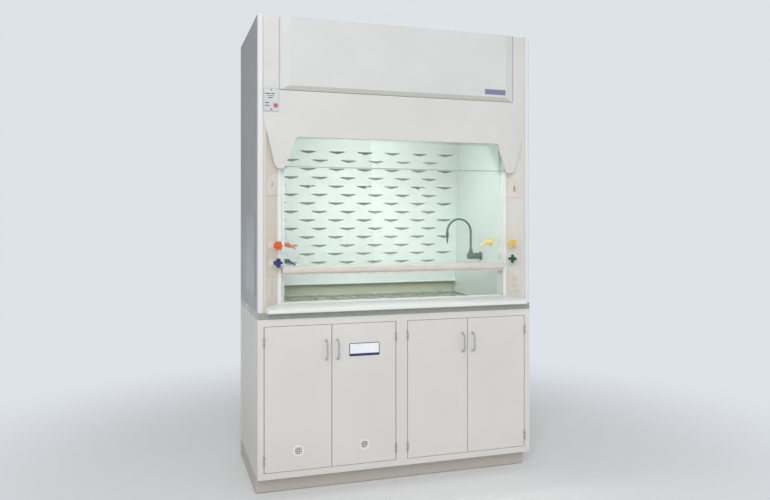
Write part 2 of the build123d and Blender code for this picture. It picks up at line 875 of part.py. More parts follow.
def ceiling():
    x = -inset(liner_inset - liner_thickness)
    plate = block(-x, x, liner_front, rear_face - seam, ceiling_height, ceiling_top)
    window_x = lamp_length / 2 - lamp_rim
    plate -= block(-window_x, window_x, lamp_front + lamp_rim, lamp_front + lamp_width - lamp_rim,
                   ceiling_height - past, ceiling_top + past)
    plate -= Pos(0, collar_depth, ceiling_top) * Cylinder(collar_radius - collar_wall, 4 * liner_thickness)
    return plate


# Front surface of the baffles at a height, and the surface behind them

def baffle_front(z):
    if z <= baffle_split:
        share = (z - baffle_low) / (baffle_split - baffle_low)
        return baffle_low_depth + share * (baffle_split_depth - baffle_low_depth)
    share = (z - baffle_split) / (baffle_high - baffle_split)
    return baffle_split_depth + share * (baffle_high_depth - baffle_split_depth)


def baffle_back(z):
    return baffle_front(z) + baffle_thickness * 1.006


# Rows of gull-wing slots in the stretch between two heights, every other row shifted sideways

def slotted(panel, z0, z1):
    half = slot_width / 2
    outline = Polyline((-half, slot_height / 2), (-half, slot_height / 2 - slot_end_height), (0, -slot_height / 2),
                       (half, slot_height / 2 - slot_end_height), (half, slot_height / 2), close=True)
    plane = Plane(origin=(0, hood_depth, 0), x_dir=(1, 0, 0), z_dir=(0, -1, 0))
    gull = extrude(plane * make_face(outline), amount=hood_depth / 2)
    first = -chamber_width / 2 + slot_left_margin + half
    for row in range(slot_rows):
        z = slot_first_row + row * slot_row_pitch
        if z0 < z < z1:
            staggered = row % 2 == 0
            start = first + (slot_stagger if staggered else 0)
            count = slot_columns - 1 if staggered else slot_columns
            panel -= [Pos(start + place * slot_pitch, 0, z) * gull for place in range(count)]
    return panel


def baffle_panel(z0, z1):
    x = -inset(liner_inset + seam)
    points = [(baffle_front(z0), z0), (baffle_back(z0), z0), (baffle_back(z1), z1), (baffle_front(z1), z1)]
    return slotted(across(points, -x, x), z0, z1)


def lower_baffle():
    x = -inset(liner_inset + seam)
    y = baffle_front(baffle_low)
    lip = block(-x, x, y - baffle_lip, y + baffle_thickness, baffle_low - baffle_thickness, baffle_low)
    return baffle_panel(baffle_low, baffle_split - seam) + lip


def upper_baffle():
    return baffle_panel(baffle_split + seam, baffle_high)


def top_baffle():
    x = -inset(liner_inset + seam)
    y0 = baffle_front(baffle_high)
    z0 = baffle_high + seam
    run = y0 - top_baffle_front
    rise = top_baffle_high - z0
    length = math.hypot(run, rise)
    dy = baffle_thickness * rise / length
    dz = baffle_thickness * run / length
    points = [(y0, z0), (top_baffle_front, top_baffle_high), (top_baffle_front + dy, top_baffle_high + dz),
              (y0 + dy, z0 + dz), (y0 + dy, z0)]
    return across(points, -x, x)


# Lamp above the window in the ceiling

def lamp_housing():
    x = lamp_length / 2
    z0 = ceiling_top + seam
    housing = block(-x, x, lamp_front, lamp_front + lamp_width, z0, z0 + lamp_tall)
    housing = fillet(housing.faces().sort_by(Axis.Z)[-1].edges(), lamp_edge_radius)
    inside = block(-x + sheet, x - sheet, lamp_front + sheet, lamp_front + lamp_width - sheet,
                   z0 - past, z0 + lamp_tall - sheet)
    return housing - fillet(inside.faces().sort_by(Axis.Z)[-1].edges(), lamp_edge_radius - sheet)


def lamp_lens():
    x = lamp_length / 2 - sheet - seam
    z0 = ceiling_top + seam
    return block(-x, x, lamp_front + sheet + seam, lamp_front + lamp_width - sheet - seam,
                 z0, z0 + lens_thickness)


def lamp_tubes():
    pieces = []
    roof = ceiling_top + seam + lamp_tall - sheet - seam
    tube_height = roof - tube_drop
    half = lamp_length / 2 - sheet - holder_end_gap
    for step in (-0.5, 0.5):
        y = lamp_front + lamp_width / 2 + step * tube_pitch
        tube_half = half - holder_thickness - seam
        pieces.append(Pos(0, y, tube_height) * Cylinder(tube_radius, 2 * tube_half, rotation=(0, 90, 0)))
        for x in (-half, half - holder_thickness):
            holder = block(x, x + holder_thickness, y - tube_radius, y + tube_radius,
                           tube_height - tube_radius, roof)
            pieces.append(holder)
    return pieces


# Airfoil sill in front of and between the posts

def sill_section(shrink, open_below):
    z0 = work_top + seam
    y_front = -sill_reach + shrink
    back = sill_back + (past if open_below else 0.0)
    slope = (sill_back_height - sill_nose_height) / (sill_back + sill_reach)
    top_front = z0 + sill_nose_height - shrink
    top_back = top_front + slope * (back + sill_reach)
    nose = sill_nose_radius - shrink
    points = [(back, top_back), (y_front, top_front), (y_front, z0 + shrink)]
    if not open_below:
        return points + [(back, z0)], [sharp, nose, nose, sharp]
    lip = -sill_reach + sill_lip
    points += [(lip, z0 + shrink), (lip, z0 - past), (back, z0 - past)]
    return points, [sharp, nose, nose, sharp, sharp, sharp]


def sill_plan(shrink):
    clear = seam + shrink
    corner = inset(sill_inset + shrink)
    turn = clear * (1 - face_along[0]) / face_along[1]
    track_side = inset(track_inset) + clear
    points = [(corner, -sill_reach - past + shrink), (corner, post_band_setback - clear),
              (inset(post_band_inset) + face_out[0] * clear, post_band_setback - clear),
              (inset(post_face_inset) + turn, post_face_depth - clear),
              (track_side, post_face_depth - clear), (track_side, sill_back + 2 * past)]
    other = [(-x, y) for x, y in reversed(points)]
    radii = [sill_corner - shrink] + [sharp] * (len(points) - 1)
    radii += list(reversed(radii))
    return make_face(FilletPolyline(*points, *other, radius=radii, close=True))


def sill_form(shrink, open_below):
    points, radii = sill_section(shrink, open_below)
    top = work_top + sill_back_height + past
    return across(points, -hood_width, hood_width, radii) & upright(sill_plan(shrink), work_top - 2 * past, top)


def airfoil_sill():
    outer = sill_form(0.0, False)
    sill = outer - sill_form(sill_skin, True)
    reach = -inset(sill_fin_inset)
    for step in range(sill_fins):
        x = -reach + 2 * reach * step / (sill_fins - 1)
        fin = block(x - sill_fin_thickness / 2, x + sill_fin_thickness / 2, sill_fin_front, sill_fin_back,
                    work_top + seam, work_top + sill_back_height)
        sill += fin & outer
    return sill


# Sash: glass, lift handle with an air strip below it, and glides in the tracks

glass_middle = glass_setback + glass_thickness / 2
glass_low = handle_height - handle_channel_low + handle_channel_wall + seam


def sash_glass():
    x = -inset(glass_inset)
    pane = block(-x, x, glass_setback, glass_setback + glass_thickness, glass_low, glass_top)
    return chamfer(pane.edges().filter_by(Axis.X), glass_edge)


def sash_handle():
    x = -inset(track_inset + handle_end_gap)
    y = handle_centre_depth
    z = handle_height
    channel_y0 = y + handle_radius - handle_channel_root
    channel_y1 = glass_middle + glass_thickness / 2 + seam + handle_channel_wall
    channel = Pos((channel_y0 + channel_y1) / 2, z + (handle_channel_high - handle_channel_low) / 2) * Rectangle(
        channel_y1 - channel_y0, handle_channel_high + handle_channel_low)
    strip = Pos(y + strip_setback, z - (strip_low + strip_high) / 2) * Rectangle(
        strip_thickness, strip_low - strip_high)
    outline = Pos(y, z) * Circle(handle_radius) + channel + strip
    outline -= Pos(y, z) * Circle(handle_radius - handle_wall)
    slot_low = glass_low - seam
    slot_high = z + handle_channel_high + past
    outline -= Pos(glass_middle, (slot_low + slot_high) / 2) * Rectangle(
        glass_thickness + 2 * seam, slot_high - slot_low)
    plane = Plane(origin=(-x, 0, 0), x_dir=(0, 1, 0), z_dir=(1, 0, 0))
    bar = extrude(plane * outline, amount=2 * x)
    for end in (-x, x - handle_wall):
        bar += Pos(end + handle_wall / 2, y, z) * Cylinder(handle_radius, handle_wall, rotation=(0, 90, 0))
    slot_z = z - strip_low + strip_slot_lift + strip_slot_height / 2
    slot_plane = Plane(origin=(0, 0, slot_z), x_dir=(1, 0, 0), z_dir=(0, -1, 0))
    slot = extrude(slot_plane * SlotOverall(strip_slot, strip_slot_height), amount=-y - strip_setback - past)
    first = -(strip_slots - 1) / 2 * strip_slot_pitch
    bar -= [Pos(first + step * strip_slot_pitch, 0, 0) * slot for step in range(strip_slots)]
    return bar


def left_glide():
    x0 = inset(post_face_inset + seam + track_wall + slide_fit)
    y0 = track_front + track_wall + slide_fit
    y1 = track_back - track_wall - slide_fit
    z0 = handle_height + handle_channel_high + seam
    glide = block(x0, inset(glide_inset), y0, y1, z0, glass_top + lug_height)
    glide -= block(inset(glass_inset) - seam, inset(glide_inset) + past, glass_setback - seam,
                   glass_setback + glass_thickness + seam, z0 - past, glass_top + seam)
    return chamfer(glide.edges().filter_by(Axis.Z).sort_by(Axis.X)[0:2], glide_edge)


# Counterbalance: a pulley over each track on one shaft, with a weight behind each

def sash_shaft():
    half = -inset(cable_inset) + pulley_width / 2 + shaft_end
    shaft = Cylinder(shaft_radius, 2 * half, rotation=(0, 90, 0))
    groove = pulley_pitch_radius - cable_radius - seam
    w = pulley_width / 2
    g = pulley_groove / 2
    web = pulley_web / 2
    rim_in = groove - pulley_rim_thickness
    hub = pulley_hub_radius
    profile = Polyline((-w, 0), (w, 0), (w, hub), (web, hub), (web, rim_in), (w, rim_in), (w, pulley_radius),
                       (g, pulley_radius), (g, groove), (-g, groove), (-g, pulley_radius), (-w, pulley_radius),
                       (-w, rim_in), (-web, rim_in), (-web, hub), (-w, hub), close=True)
    wheel = revolve(make_face(profile), axis=Axis.X)
    ring = (hub + rim_in) / 2
    for step in range(pulley_holes):
        angle = 2 * math.pi * step / pulley_holes
        hole = Cylinder(pulley_hole_radius, 2 * pulley_width, rotation=(0, 90, 0))
        wheel -= Pos(0, ring * math.cos(angle), ring * math.sin(angle)) * hole
    wheel = Pos(inset(cable_inset), 0, 0) * wheel
    for pulley in both_sides(wheel):
        shaft += pulley
    return Pos(0, shaft_depth, shaft_height) * shaft


def left_weight():
    x = inset(cable_inset)
    y = shaft_depth + pulley_pitch_radius
    wide, deep, tall = weight_size
    slab = block(x - wide / 2 + weight_shift, x + wide / 2 + weight_shift, y - deep / 2, y + deep / 2,
                 weight_top - tall, weight_top)
    slab = chamfer(slab.edges().filter_by(Axis.Z), weight_corner)
    eye = Pos(x, y, weight_top + weight_eye_height / 2) * Cylinder(weight_eye_radius, weight_eye_height)
    return slab + eye


def left_cable():
    x = inset(cable_inset)
    y_front = glass_middle
    y_back = y_front + 2 * pulley_pitch_radius
    z_sash = glass_top + lug_height + seam
    z_weight = weight_top + weight_eye_height + seam
    plane = Plane(origin=(x, 0, 0), x_dir=(0, 1, 0), z_dir=(1, 0, 0))
    rise = Line((y_front, z_sash), (y_front, shaft_height))
    over = CenterArc((shaft_depth, shaft_height), pulley_pitch_radius, 180, -180)
    fall = Line((y_back, shaft_height), (y_back, z_weight))
    path = plane * Wire([rise.edge(), over.edge(), fall.edge()])
    start = Plane(origin=(x, y_front, z_sash), z_dir=(0, 0, 1))
    return sweep(start * Circle(cable_radius), path=path)


# Switches and outlets

def wall_plate():
    plate = Pos(0, 0, seam + plate_thickness / 2) * Box(plate_width, plate_height, plate_thickness)
    return fillet(plate.faces().sort_by(Axis.Z)[-1].edges(), plate_edge)


def switch_set():
    plate = wall_plate() - Box(toggle_slot[0], toggle_slot[1], 4 * plate_thickness)
    wide, tall, deep = switch_body
    body = Pos(0, 0, -deep / 2) * Box(wide, tall, deep)
    cavity = toggle_pivot_depth + toggle_pivot_radius + toggle_floor_gap
    body -= Pos(0, 0, -cavity / 2) * Box(toggle_slot[0], toggle_slot[1], cavity + hair)
    return [on_post(switch_height) * plate, on_post(switch_height) * body]


def toggle():
    pivot = Cylinder(toggle_pivot_radius, toggle_slot[0] - 2 * slide_fit, rotation=(0, 90, 0))
    tip_face = Pos(0, 0, toggle_length) * Rectangle(*toggle_tip)
    lever = loft([Rectangle(*toggle_foot), tip_face])
    lever = fillet(lever.faces().sort_by(Axis.Z)[-1].edges(), toggle_edge)
    lever = Rot(-toggle_tilt, 0, 0) * lever
    return on_post(switch_height, -toggle_pivot_depth) * (pivot + lever)


def outlet_face(grow):
    face = Circle(outlet_face_radius + grow)
    return face & Rectangle(3 * outlet_face_radius, 2 * (outlet_face_flat + grow))


def outlet_set():
    plate = wall_plate()
    wide, tall, deep = outlet_body
    body = Pos(0, 0, -deep / 2) * Box(wide, tall, deep)
    for step in (-0.5, 0.5):
        centre = Pos(0, step * outlet_pitch, 0)
        plate -= centre * extrude(outlet_face(seam), amount=3 * plate_thickness)
        face = extrude(outlet_face(0), amount=seam + plate_thickness + outlet_face_proud)
        face += Pos(0, 0, -root) * extrude(outlet_face(0), amount=root)
        for x in (-outlet_blade_offset, outlet_blade_offset):
            face -= Pos(x, outlet_blade_rise, plate_thickness) * Box(*outlet_blade, outlet_slot_depth)
        ground = Cylinder(outlet_ground_radius, outlet_slot_depth)
        face -= Pos(0, -outlet_ground_drop, plate_thickness) * ground
        body += centre * face
    return [on_post(outlet_height) * plate, on_post(outlet_height) * body]


# Service valves: bonnet through the post, and a knob with lobes on its spindle

def valve_bonnet(height):
    disc = Pos(0, 0, seam + escutcheon_thickness / 2) * Cylinder(escutcheon_radius, escutcheon_thickness)
    disc = fillet(disc.edges().group_by(Axis.Z)[-1], escutcheon_edge)
    hub = Pos(0, 0, seam + bonnet_length / 2) * Cylinder(bonnet_radius, bonnet_length)
    shank = Pos(0, 0, root - valve_shank_length / 2) * Cylinder(valve_shank_radius, valve_shank_length)
    nut = Pos(0, 0, -sheet - seam - valve_nut_thickness / 2) * extrude(
        RegularPolygon(valve_nut_radius, 6), amount=valve_nut_thickness / 2, both=True)
    bore = Cylinder(spindle_radius + running_fit, 4 * valve_shank_length)
    return on_post(height) * (disc + hub + shank + nut - bore)


def knob_disc(radius):
    disc = Cylinder(radius, knob_thickness)
    return chamfer(disc.edges().filter_by(GeomType.CIRCLE), knob_edge)


def knob(height, lobes):
    z0 = seam + bonnet_length + seam
    z1 = z0 + knob_neck
    spindle_low = -spindle_depth
    body = Pos(0, 0, (spindle_low + z1) / 2) * Cylinder(spindle_radius, z1 - spindle_low)
    body += Pos(0, 0, z0) * extrude(Circle(knob_neck_radius), amount=knob_neck, taper=-knob_neck_taper)
    ring = knob_radius - knob_lobe_radius
    head = knob_disc(knob_hub_radius)
    for step in range(lobes):
        angle = 2 * math.pi * step / lobes
        head += Pos(ring * math.cos(angle), ring * math.sin(angle), 0) * knob_disc(knob_lobe_radius)
    head = Pos(0, 0, z1 + knob_thickness / 2) * head
    crown = extrude(Circle(knob_crown_radius), amount=knob_crown, taper=knob_crown_taper)
    return on_post(height) * (body + head + Pos(0, 0, z1 + knob_thickness) * crown)


# Hose nozzle: profile of the barb as radius against length, turned about its axis

def barb(length, radius):
    start = length * barb_start_share
    tooth = (length - start) / barb_teeth
    points = [(0, 0), (radius * barb_waist_share, 0)]
    for step in range(barb_teeth):
        edge = radius + (barb_tip_radius - radius) * step / barb_teeth
        z = start + step * tooth
        points += [(edge, z), (edge * barb_waist_share, z + tooth * barb_waist_share)]
    bore_low = length * (1 - barb_bore_share)
    points += [(barb_tip_radius * barb_waist_share, length), (barb_bore, length), (barb_bore, bore_low), (0, bore_low)]
    return revolve(Plane.XZ * make_face(Polyline(*points, close=True)), axis=Axis.Z)


# Nozzle on the left liner wall, turned to point into the chamber and down

def nozzle(height):
    reach = nozzle_neck_length
    disc = Cylinder(nozzle_disc_radius, nozzle_disc_thickness, rotation=(0, 90, 0))
    disc = Pos(seam + nozzle_disc_thickness / 2, 0, 0) * disc
    disc = fillet(disc.edges().group_by(Axis.X)[-1], nozzle_disc_edge)
    neck = Pos(reach / 2 + seam, 0, 0) * Cylinder(nozzle_neck_radius, reach, rotation=(0, 90, 0))
    elbow = Pos(reach + seam, 0, 0) * Sphere(nozzle_neck_radius)
    spout = Pos(reach + seam, 0, 0) * Rot(0, 90 + nozzle_tilt, 0) * barb(barb_length, barb_radius)
    return Pos(inset(liner_inset), nozzle_depth, height) * (disc + neck + elbow + spout)


# Faucet on the right liner wall: x runs from the wall into the chamber

def faucet_base():
    flange = Cylinder(faucet_flange_radius, faucet_flange_thickness, rotation=(0, 90, 0))
    flange = Pos(seam + faucet_flange_thickness / 2, 0, 0) * flange
    barrel = Cylinder(faucet_barrel_radius, faucet_reach, rotation=(0, 90, 0))
    barrel = chamfer(barrel.edges().group_by(Axis.X)[-1], faucet_barrel_edge)
    barrel = Pos(seam + faucet_reach / 2, 0, 0) * barrel
    boss = Pos(faucet_riser_reach, 0, faucet_boss_height / 2) * Cylinder(faucet_boss_radius, faucet_boss_height)
    boss = chamfer(boss.edges().group_by(Axis.Z)[-1], faucet_boss_edge)
    socket_low = faucet_boss_height - faucet_socket_depth
    socket = Pos(faucet_riser_reach, 0, socket_low + faucet_socket_depth) * Cylinder(
        gooseneck_radius + running_fit, 2 * faucet_socket_depth)
    base = flange + barrel + boss - socket
    return mirrored(Pos(inset(liner_inset), faucet_depth, faucet_height) * base)


def gooseneck():
    x0 = faucet_riser_reach
    x1 = x0 + 2 * gooseneck_bend
    z0 = faucet_boss_height - faucet_socket_depth + slide_fit
    bend = gooseneck_rise
    plane = Plane(origin=(0, 0, 0), x_dir=(1, 0, 0), z_dir=(0, -1, 0))
    rise = Line((x0, z0), (x0, bend))
    over = CenterArc((x0 + gooseneck_bend, bend), gooseneck_bend, 180, -180)
    path = plane * Wire([rise.edge(), over.edge()])
    start = Plane(origin=(x0, 0, z0), z_dir=(0, 0, 1))
    pipe = sweep(start * Circle(gooseneck_radius), path=path)
    collar = Pos(x0, 0, faucet_boss_height + seam) * extrude(Circle(gooseneck_collar_radius),
                                                             amount=gooseneck_collar_height)
    spout = Pos(x1, 0, bend - spout_length) * extrude(Circle(spout_radius), amount=spout_length)
    spout = chamfer(spout.edges().filter_by(GeomType.CIRCLE), spout_edge)
    tip = Pos(x1, 0, bend - spout_length) * Rot(180, 0, 0) * barb(spout_barb_length, gooseneck_radius)
    return mirrored(Pos(inset(liner_inset), faucet_depth, faucet_height) * (pipe + collar + spout + tip))


# Air monitor on the sloping left flank of the header

flank_fall = header_flank_fall / (header_crease_inset - post_band_inset)


def on_flank(out):
    length = math.hypot(1.0, flank_fall)
    along = (1.0 / length, -flank_fall / length, 0)
    normal = (-flank_fall / length, -1.0 / length, 0)
    y = -header_proud + flank_fall * (header_crease_inset - monitor_centre_inset)
    origin = (inset(monitor_centre_inset) + normal[0] * out, y + normal[1] * out, monitor_centre_height)
    return Plane(origin=origin, x_dir=along, z_dir=normal)


def air_monitor():
    case = Pos(0, 0, monitor_thickness / 2) * Box(monitor_width, monitor_height, monitor_thickness)
    case = fillet(case.edges().filter_by(Axis.Z), monitor_corner)
    case = fillet(case.faces().sort_by(Axis.Z)[-1].edges(), monitor_edge)
    hole = button_size + 2 * button_fit
    x, y = button_place
    case -= Pos(x, y, monitor_thickness) * Box(hole, hole, monitor_thickness)
    return on_flank(seam) * case


def monitor_button():
    low = monitor_thickness / 2 + button_travel + 2 * button_fit
    high = monitor_thickness + button_proud
    x, y = button_place
    key = Pos(x, y, (low + high) / 2) * Box(button_size, button_size, high - low)
    key = fillet(key.faces().sort_by(Axis.Z)[-1].edges(), button_edge)
    return on_flank(seam) * key


# Base cabinets and doors

left_centre = -cabinet_width / 2
right_centre = cabinet_width / 2
save("cabinet_left", cabinet(left_centre))
save("cabinet_right", cabinet(right_centre))
save("cabinet_shelves", cabinet_shelf(left_centre), cabinet_shelf(right_centre))
save("levelling_feet", *cabinet_feet(left_centre), *cabinet_feet(right_centre))
save("cabinet_hinges", *cabinet_hinges(left_centre), *cabinet_hinges(right_centre))
plain_door = door(False)
vented_door = door(True)
pull = door_pull()
vent = door_vent()
places = {
    "left_outer": (left_centre, False, vented_door),
    "left_inner": (left_centre, True, vented_door),
    "right_inner": (right_centre, False, plain_door),
    "right_outer": (right_centre, True, plain_door),
}
for place, (centre, flipped, leaf) in places.items():
    pieces = {"door": leaf, "door_pull": pull}
    if leaf is vented_door:
        pieces["door_vent"] = vent
    for name, piece in pieces.items():
        shape = mirrored(piece) if flipped else piece
        save(f"{name}_{place}", Pos(centre, 0, 0) * shape)

# Superstructure
save("work_surface", work_surface())
save("side_panels", *both_sides(side_panel()))
save("access_covers", *both_sides(access_cover()))
save("front_posts", *both_sides(left_post()))
save("sash_tracks", *both_sides(left_track()))
save("header_fascia", header_fascia())
save("upper_front_cover", upper_front_cover())
save("view_pane", view_pane())
save("roof_panel", roof_panel())
save("rear_panel", rear_panel())
save("head_rail", head_rail())
save("exhaust_collar", exhaust_collar())
save("airfoil_sill", airfoil_sill())

# Work chamber
save("liner_sides", *both_sides(left_liner()))
save("liner_ceiling", ceiling())
save("lower_baffle", lower_baffle())
save("upper_baffle", upper_baffle())
save("top_baffle", top_baffle())
save("lamp_housing", lamp_housing())
save("lamp_lens", lamp_lens())
save("lamp_tubes", *lamp_tubes())

# Sash and its counterbalance
save("sash_glass", sash_glass())
save("sash_handle", sash_handle())
save("sash_glides", *both_sides(left_glide()))
save("sash_shaft", sash_shaft())
save("sash_cables", *both_sides(left_cable()))
weight = left_weight()
save("sash_weight_left", weight)
save("sash_weight_right", mirrored(weight))

# Switches, outlets and the air monitor
switch_pieces = switch_set()
outlet_pieces = outlet_set()
save("switch_plates", *[piece for part in switch_pieces for piece in both_sides(part)])
save("duplex_outlets", *[piece for part in outlet_pieces for piece in both_sides(part)])
lever = toggle()
save("light_switch_toggle", lever)
save("blower_switch_toggle", mirrored(lever))
save("air_monitor", air_monitor())
save("monitor_button", monitor_button())

# Services
bonnets = [valve_bonnet(valve_upper), valve_bonnet(valve_lower)]
save("valve_bonnets", *[piece for bonnet in bonnets for piece in both_sides(bonnet)])
save("knob_left_upper", knob(valve_upper, 6))
save("knob_left_lower", knob(valve_lower, 4))
save("knob_right_upper", mirrored(knob(valve_upper, 5)))
save("knob_right_lower", mirrored(knob(valve_lower, 4)))
save("nozzle_left_upper", nozzle(valve_upper))
save("nozzle_left_lower", nozzle(valve_lower))
save("nozzle_right", mirrored(nozzle(valve_upper)))
save("faucet_base", faucet_base())
save("gooseneck", gooseneck())
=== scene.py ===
import json
import math

import bmesh
import bpy
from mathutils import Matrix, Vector

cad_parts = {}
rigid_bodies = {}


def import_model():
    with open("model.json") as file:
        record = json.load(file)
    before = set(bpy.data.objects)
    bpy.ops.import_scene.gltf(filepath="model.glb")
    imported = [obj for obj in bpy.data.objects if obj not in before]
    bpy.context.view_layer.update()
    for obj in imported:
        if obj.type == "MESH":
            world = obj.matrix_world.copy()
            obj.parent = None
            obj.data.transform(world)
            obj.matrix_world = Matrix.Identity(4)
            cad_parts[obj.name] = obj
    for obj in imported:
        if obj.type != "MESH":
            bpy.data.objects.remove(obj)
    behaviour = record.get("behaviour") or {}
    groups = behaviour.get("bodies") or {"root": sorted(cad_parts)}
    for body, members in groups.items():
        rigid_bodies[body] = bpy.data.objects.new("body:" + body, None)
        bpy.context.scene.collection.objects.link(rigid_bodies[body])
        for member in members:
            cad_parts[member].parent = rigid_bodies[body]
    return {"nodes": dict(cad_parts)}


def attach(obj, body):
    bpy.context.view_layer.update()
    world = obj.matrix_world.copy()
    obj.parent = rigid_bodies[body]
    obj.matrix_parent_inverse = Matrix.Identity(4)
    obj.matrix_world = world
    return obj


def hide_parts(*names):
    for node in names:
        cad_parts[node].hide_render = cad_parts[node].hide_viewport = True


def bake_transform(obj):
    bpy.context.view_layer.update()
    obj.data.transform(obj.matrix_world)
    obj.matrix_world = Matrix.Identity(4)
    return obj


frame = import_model()
cadNodes = frame["nodes"]
shownObjects = bpy.context.scene.collection.objects
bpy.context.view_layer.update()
print("frame loaded:", len(cadNodes), "nodes")


# Camera at the photograph's angle

cameraSettings = {"place": (-1.2418, -3.9406, 1.4051), "turn": (90.0, 0.0, -17.71), "lens": 33.43,
                  "shiftUp": -0.041, "sensor": 36.0, "farthest": 200.0}


def placeCamera():
    lensData = bpy.data.cameras.new("hoodCamera")
    lensData.sensor_width = cameraSettings["sensor"]
    lensData.lens = cameraSettings["lens"]
    lensData.shift_y = cameraSettings["shiftUp"]
    lensData.clip_end = cameraSettings["farthest"]
    camera = bpy.data.objects.new("hoodCamera", lensData)
    camera.location = cameraSettings["place"]
    camera.rotation_euler = [math.radians(angle) for angle in cameraSettings["turn"]]
    shownObjects.link(camera)
    bpy.context.scene.camera = camera


placeCamera()
bpy.context.scene.view_settings.view_transform = "Standard"


# Colours are picked as screen values from 0 to 255

def screenTone(red, green, blue):
    shares = [value / 255.0 for value in (red, green, blue)]
    return [s / 12.92 if s <= 0.04045 else ((s + 0.055) / 1.055) ** 2.4 for s in shares] + [1.0]


# Soft studio light, pale backdrop and floor

studio = {
    "backdrop": screenTone(222, 227, 232), "ambient": 0.425, "ambientColour": (0.97, 0.985, 1.0, 1.0),
    "floorTone": screenTone(253, 254, 255), "floorRadius": 40.0, "floorSides": 96, "floorDrop": 0.0005,
    "fadeStart": 0.9, "fadeEnd": 3.4,
}
lights = {
    "keyLight": {"place": (-2.0, -5.6, 3.8), "aim": (0.0, 0.0, 1.25), "width": 3.0, "power": 150.0},
    "fillLight": {"place": (3.4, -5.4, 2.0), "aim": (0.0, 0.0, 1.25), "width": 4.0, "power": 36.0},
    "hoodLamp": {"place": (0.0, -0.11, 2.056), "aim": (0.0, -0.10, 0.9), "width": 0.60, "height": 0.14,
                 "power": 3.4},
    "plenumLight": {"place": (0.0, 0.368, 1.42), "aim": (0.0, 0.402, 1.42), "width": 1.15, "height": 0.75,
                    "power": 0.45},
}


def aimedLight(name, place, aim, width, power, height=None):
    data = bpy.data.lights.new(name, "AREA")
    data.energy = power
    data.size = width
    if height is not None:
        data.shape = "RECTANGLE"
        data.size_y = height
    light = bpy.data.objects.new(name, data)
    light.location = place
    light.rotation_euler = (Vector(aim) - Vector(place)).to_track_quat("-Z", "Y").to_euler()
    shownObjects.link(light)


def lightStudio():
    world = bpy.data.worlds.new("studioWorld")
    world.use_nodes = True
    tree = world.node_tree
    tree.nodes.clear()
    output = tree.nodes.new("ShaderNodeOutputWorld")
    mix = tree.nodes.new("ShaderNodeMixShader")
    seen = tree.nodes.new("ShaderNodeBackground")
    ambient = tree.nodes.new("ShaderNodeBackground")
    path = tree.nodes.new("ShaderNodeLightPath")
    either = tree.nodes.new("ShaderNodeMath")
    either.operation = "MAXIMUM"
    seen.inputs["Color"].default_value = studio["backdrop"]
    ambient.inputs["Color"].default_value = studio["ambientColour"]
    ambient.inputs["Strength"].default_value = studio["ambient"]
    tree.links.new(path.outputs["Is Camera Ray"], either.inputs[0])
    tree.links.new(path.outputs["Is Transmission Ray"], either.inputs[1])
    tree.links.new(either.outputs[0], mix.inputs[0])
    tree.links.new(ambient.outputs[0], mix.inputs[1])
    tree.links.new(seen.outputs[0], mix.inputs[2])
    tree.links.new(mix.outputs[0], output.inputs["Surface"])
    bpy.context.scene.world = world
    for name, settings in lights.items():
        aimedLight(name, **settings)


def makeFloor():
    sheetMesh = bpy.data.meshes.new("studioFloor")
    builder = bmesh.new()
    bmesh.ops.create_circle(builder, cap_ends=True, segments=studio["floorSides"],
                              radius=studio["floorRadius"])
    builder.to_mesh(sheetMesh)
    builder.free()
    floor = bpy.data.objects.new("studioFloor", sheetMesh)
    floor.location = (0.0, 0.0, -studio["floorDrop"])
    shownObjects.link(floor)
    material = bpy.data.materials.new("floorPaper")
    material.use_nodes = True
    tree = material.node_tree
    tree.nodes.clear()
    output = tree.nodes.new("ShaderNodeOutputMaterial")
    mix = tree.nodes.new("ShaderNodeMixShader")
    paper = tree.nodes.new("ShaderNodeBsdfDiffuse")
    glow = tree.nodes.new("ShaderNodeEmission")
    coords = tree.nodes.new("ShaderNodeTexCoord")
    reach = tree.nodes.new("ShaderNodeVectorMath")
    reach.operation = "LENGTH"
    fade = tree.nodes.new("ShaderNodeMapRange")
    fade.interpolation_type = "SMOOTHSTEP"
    fade.inputs["From Min"].default_value = studio["fadeStart"]
    fade.inputs["From Max"].default_value = studio["fadeEnd"]
    paper.inputs["Color"].default_value = studio["floorTone"]
    glow.inputs["Color"].default_value = studio["backdrop"]
    tree.links.new(coords.outputs["Object"], reach.inputs[0])
    tree.links.new(reach.outputs["Value"], fade.inputs["Value"])
    tree.links.new(fade.outputs["Result"], mix.inputs[0])
    tree.links.new(paper.outputs[0], mix.inputs[1])
    tree.links.new(glow.outputs[0], mix.inputs[2])
    tree.links.new(mix.outputs[0], output.inputs["Surface"])
    sheetMesh.materials.append(material)


lightStudio()
makeFloor()
print("camera, light and floor made")


# One finish: a material's tree with the patterns that the finishes share, all on Object coordinates

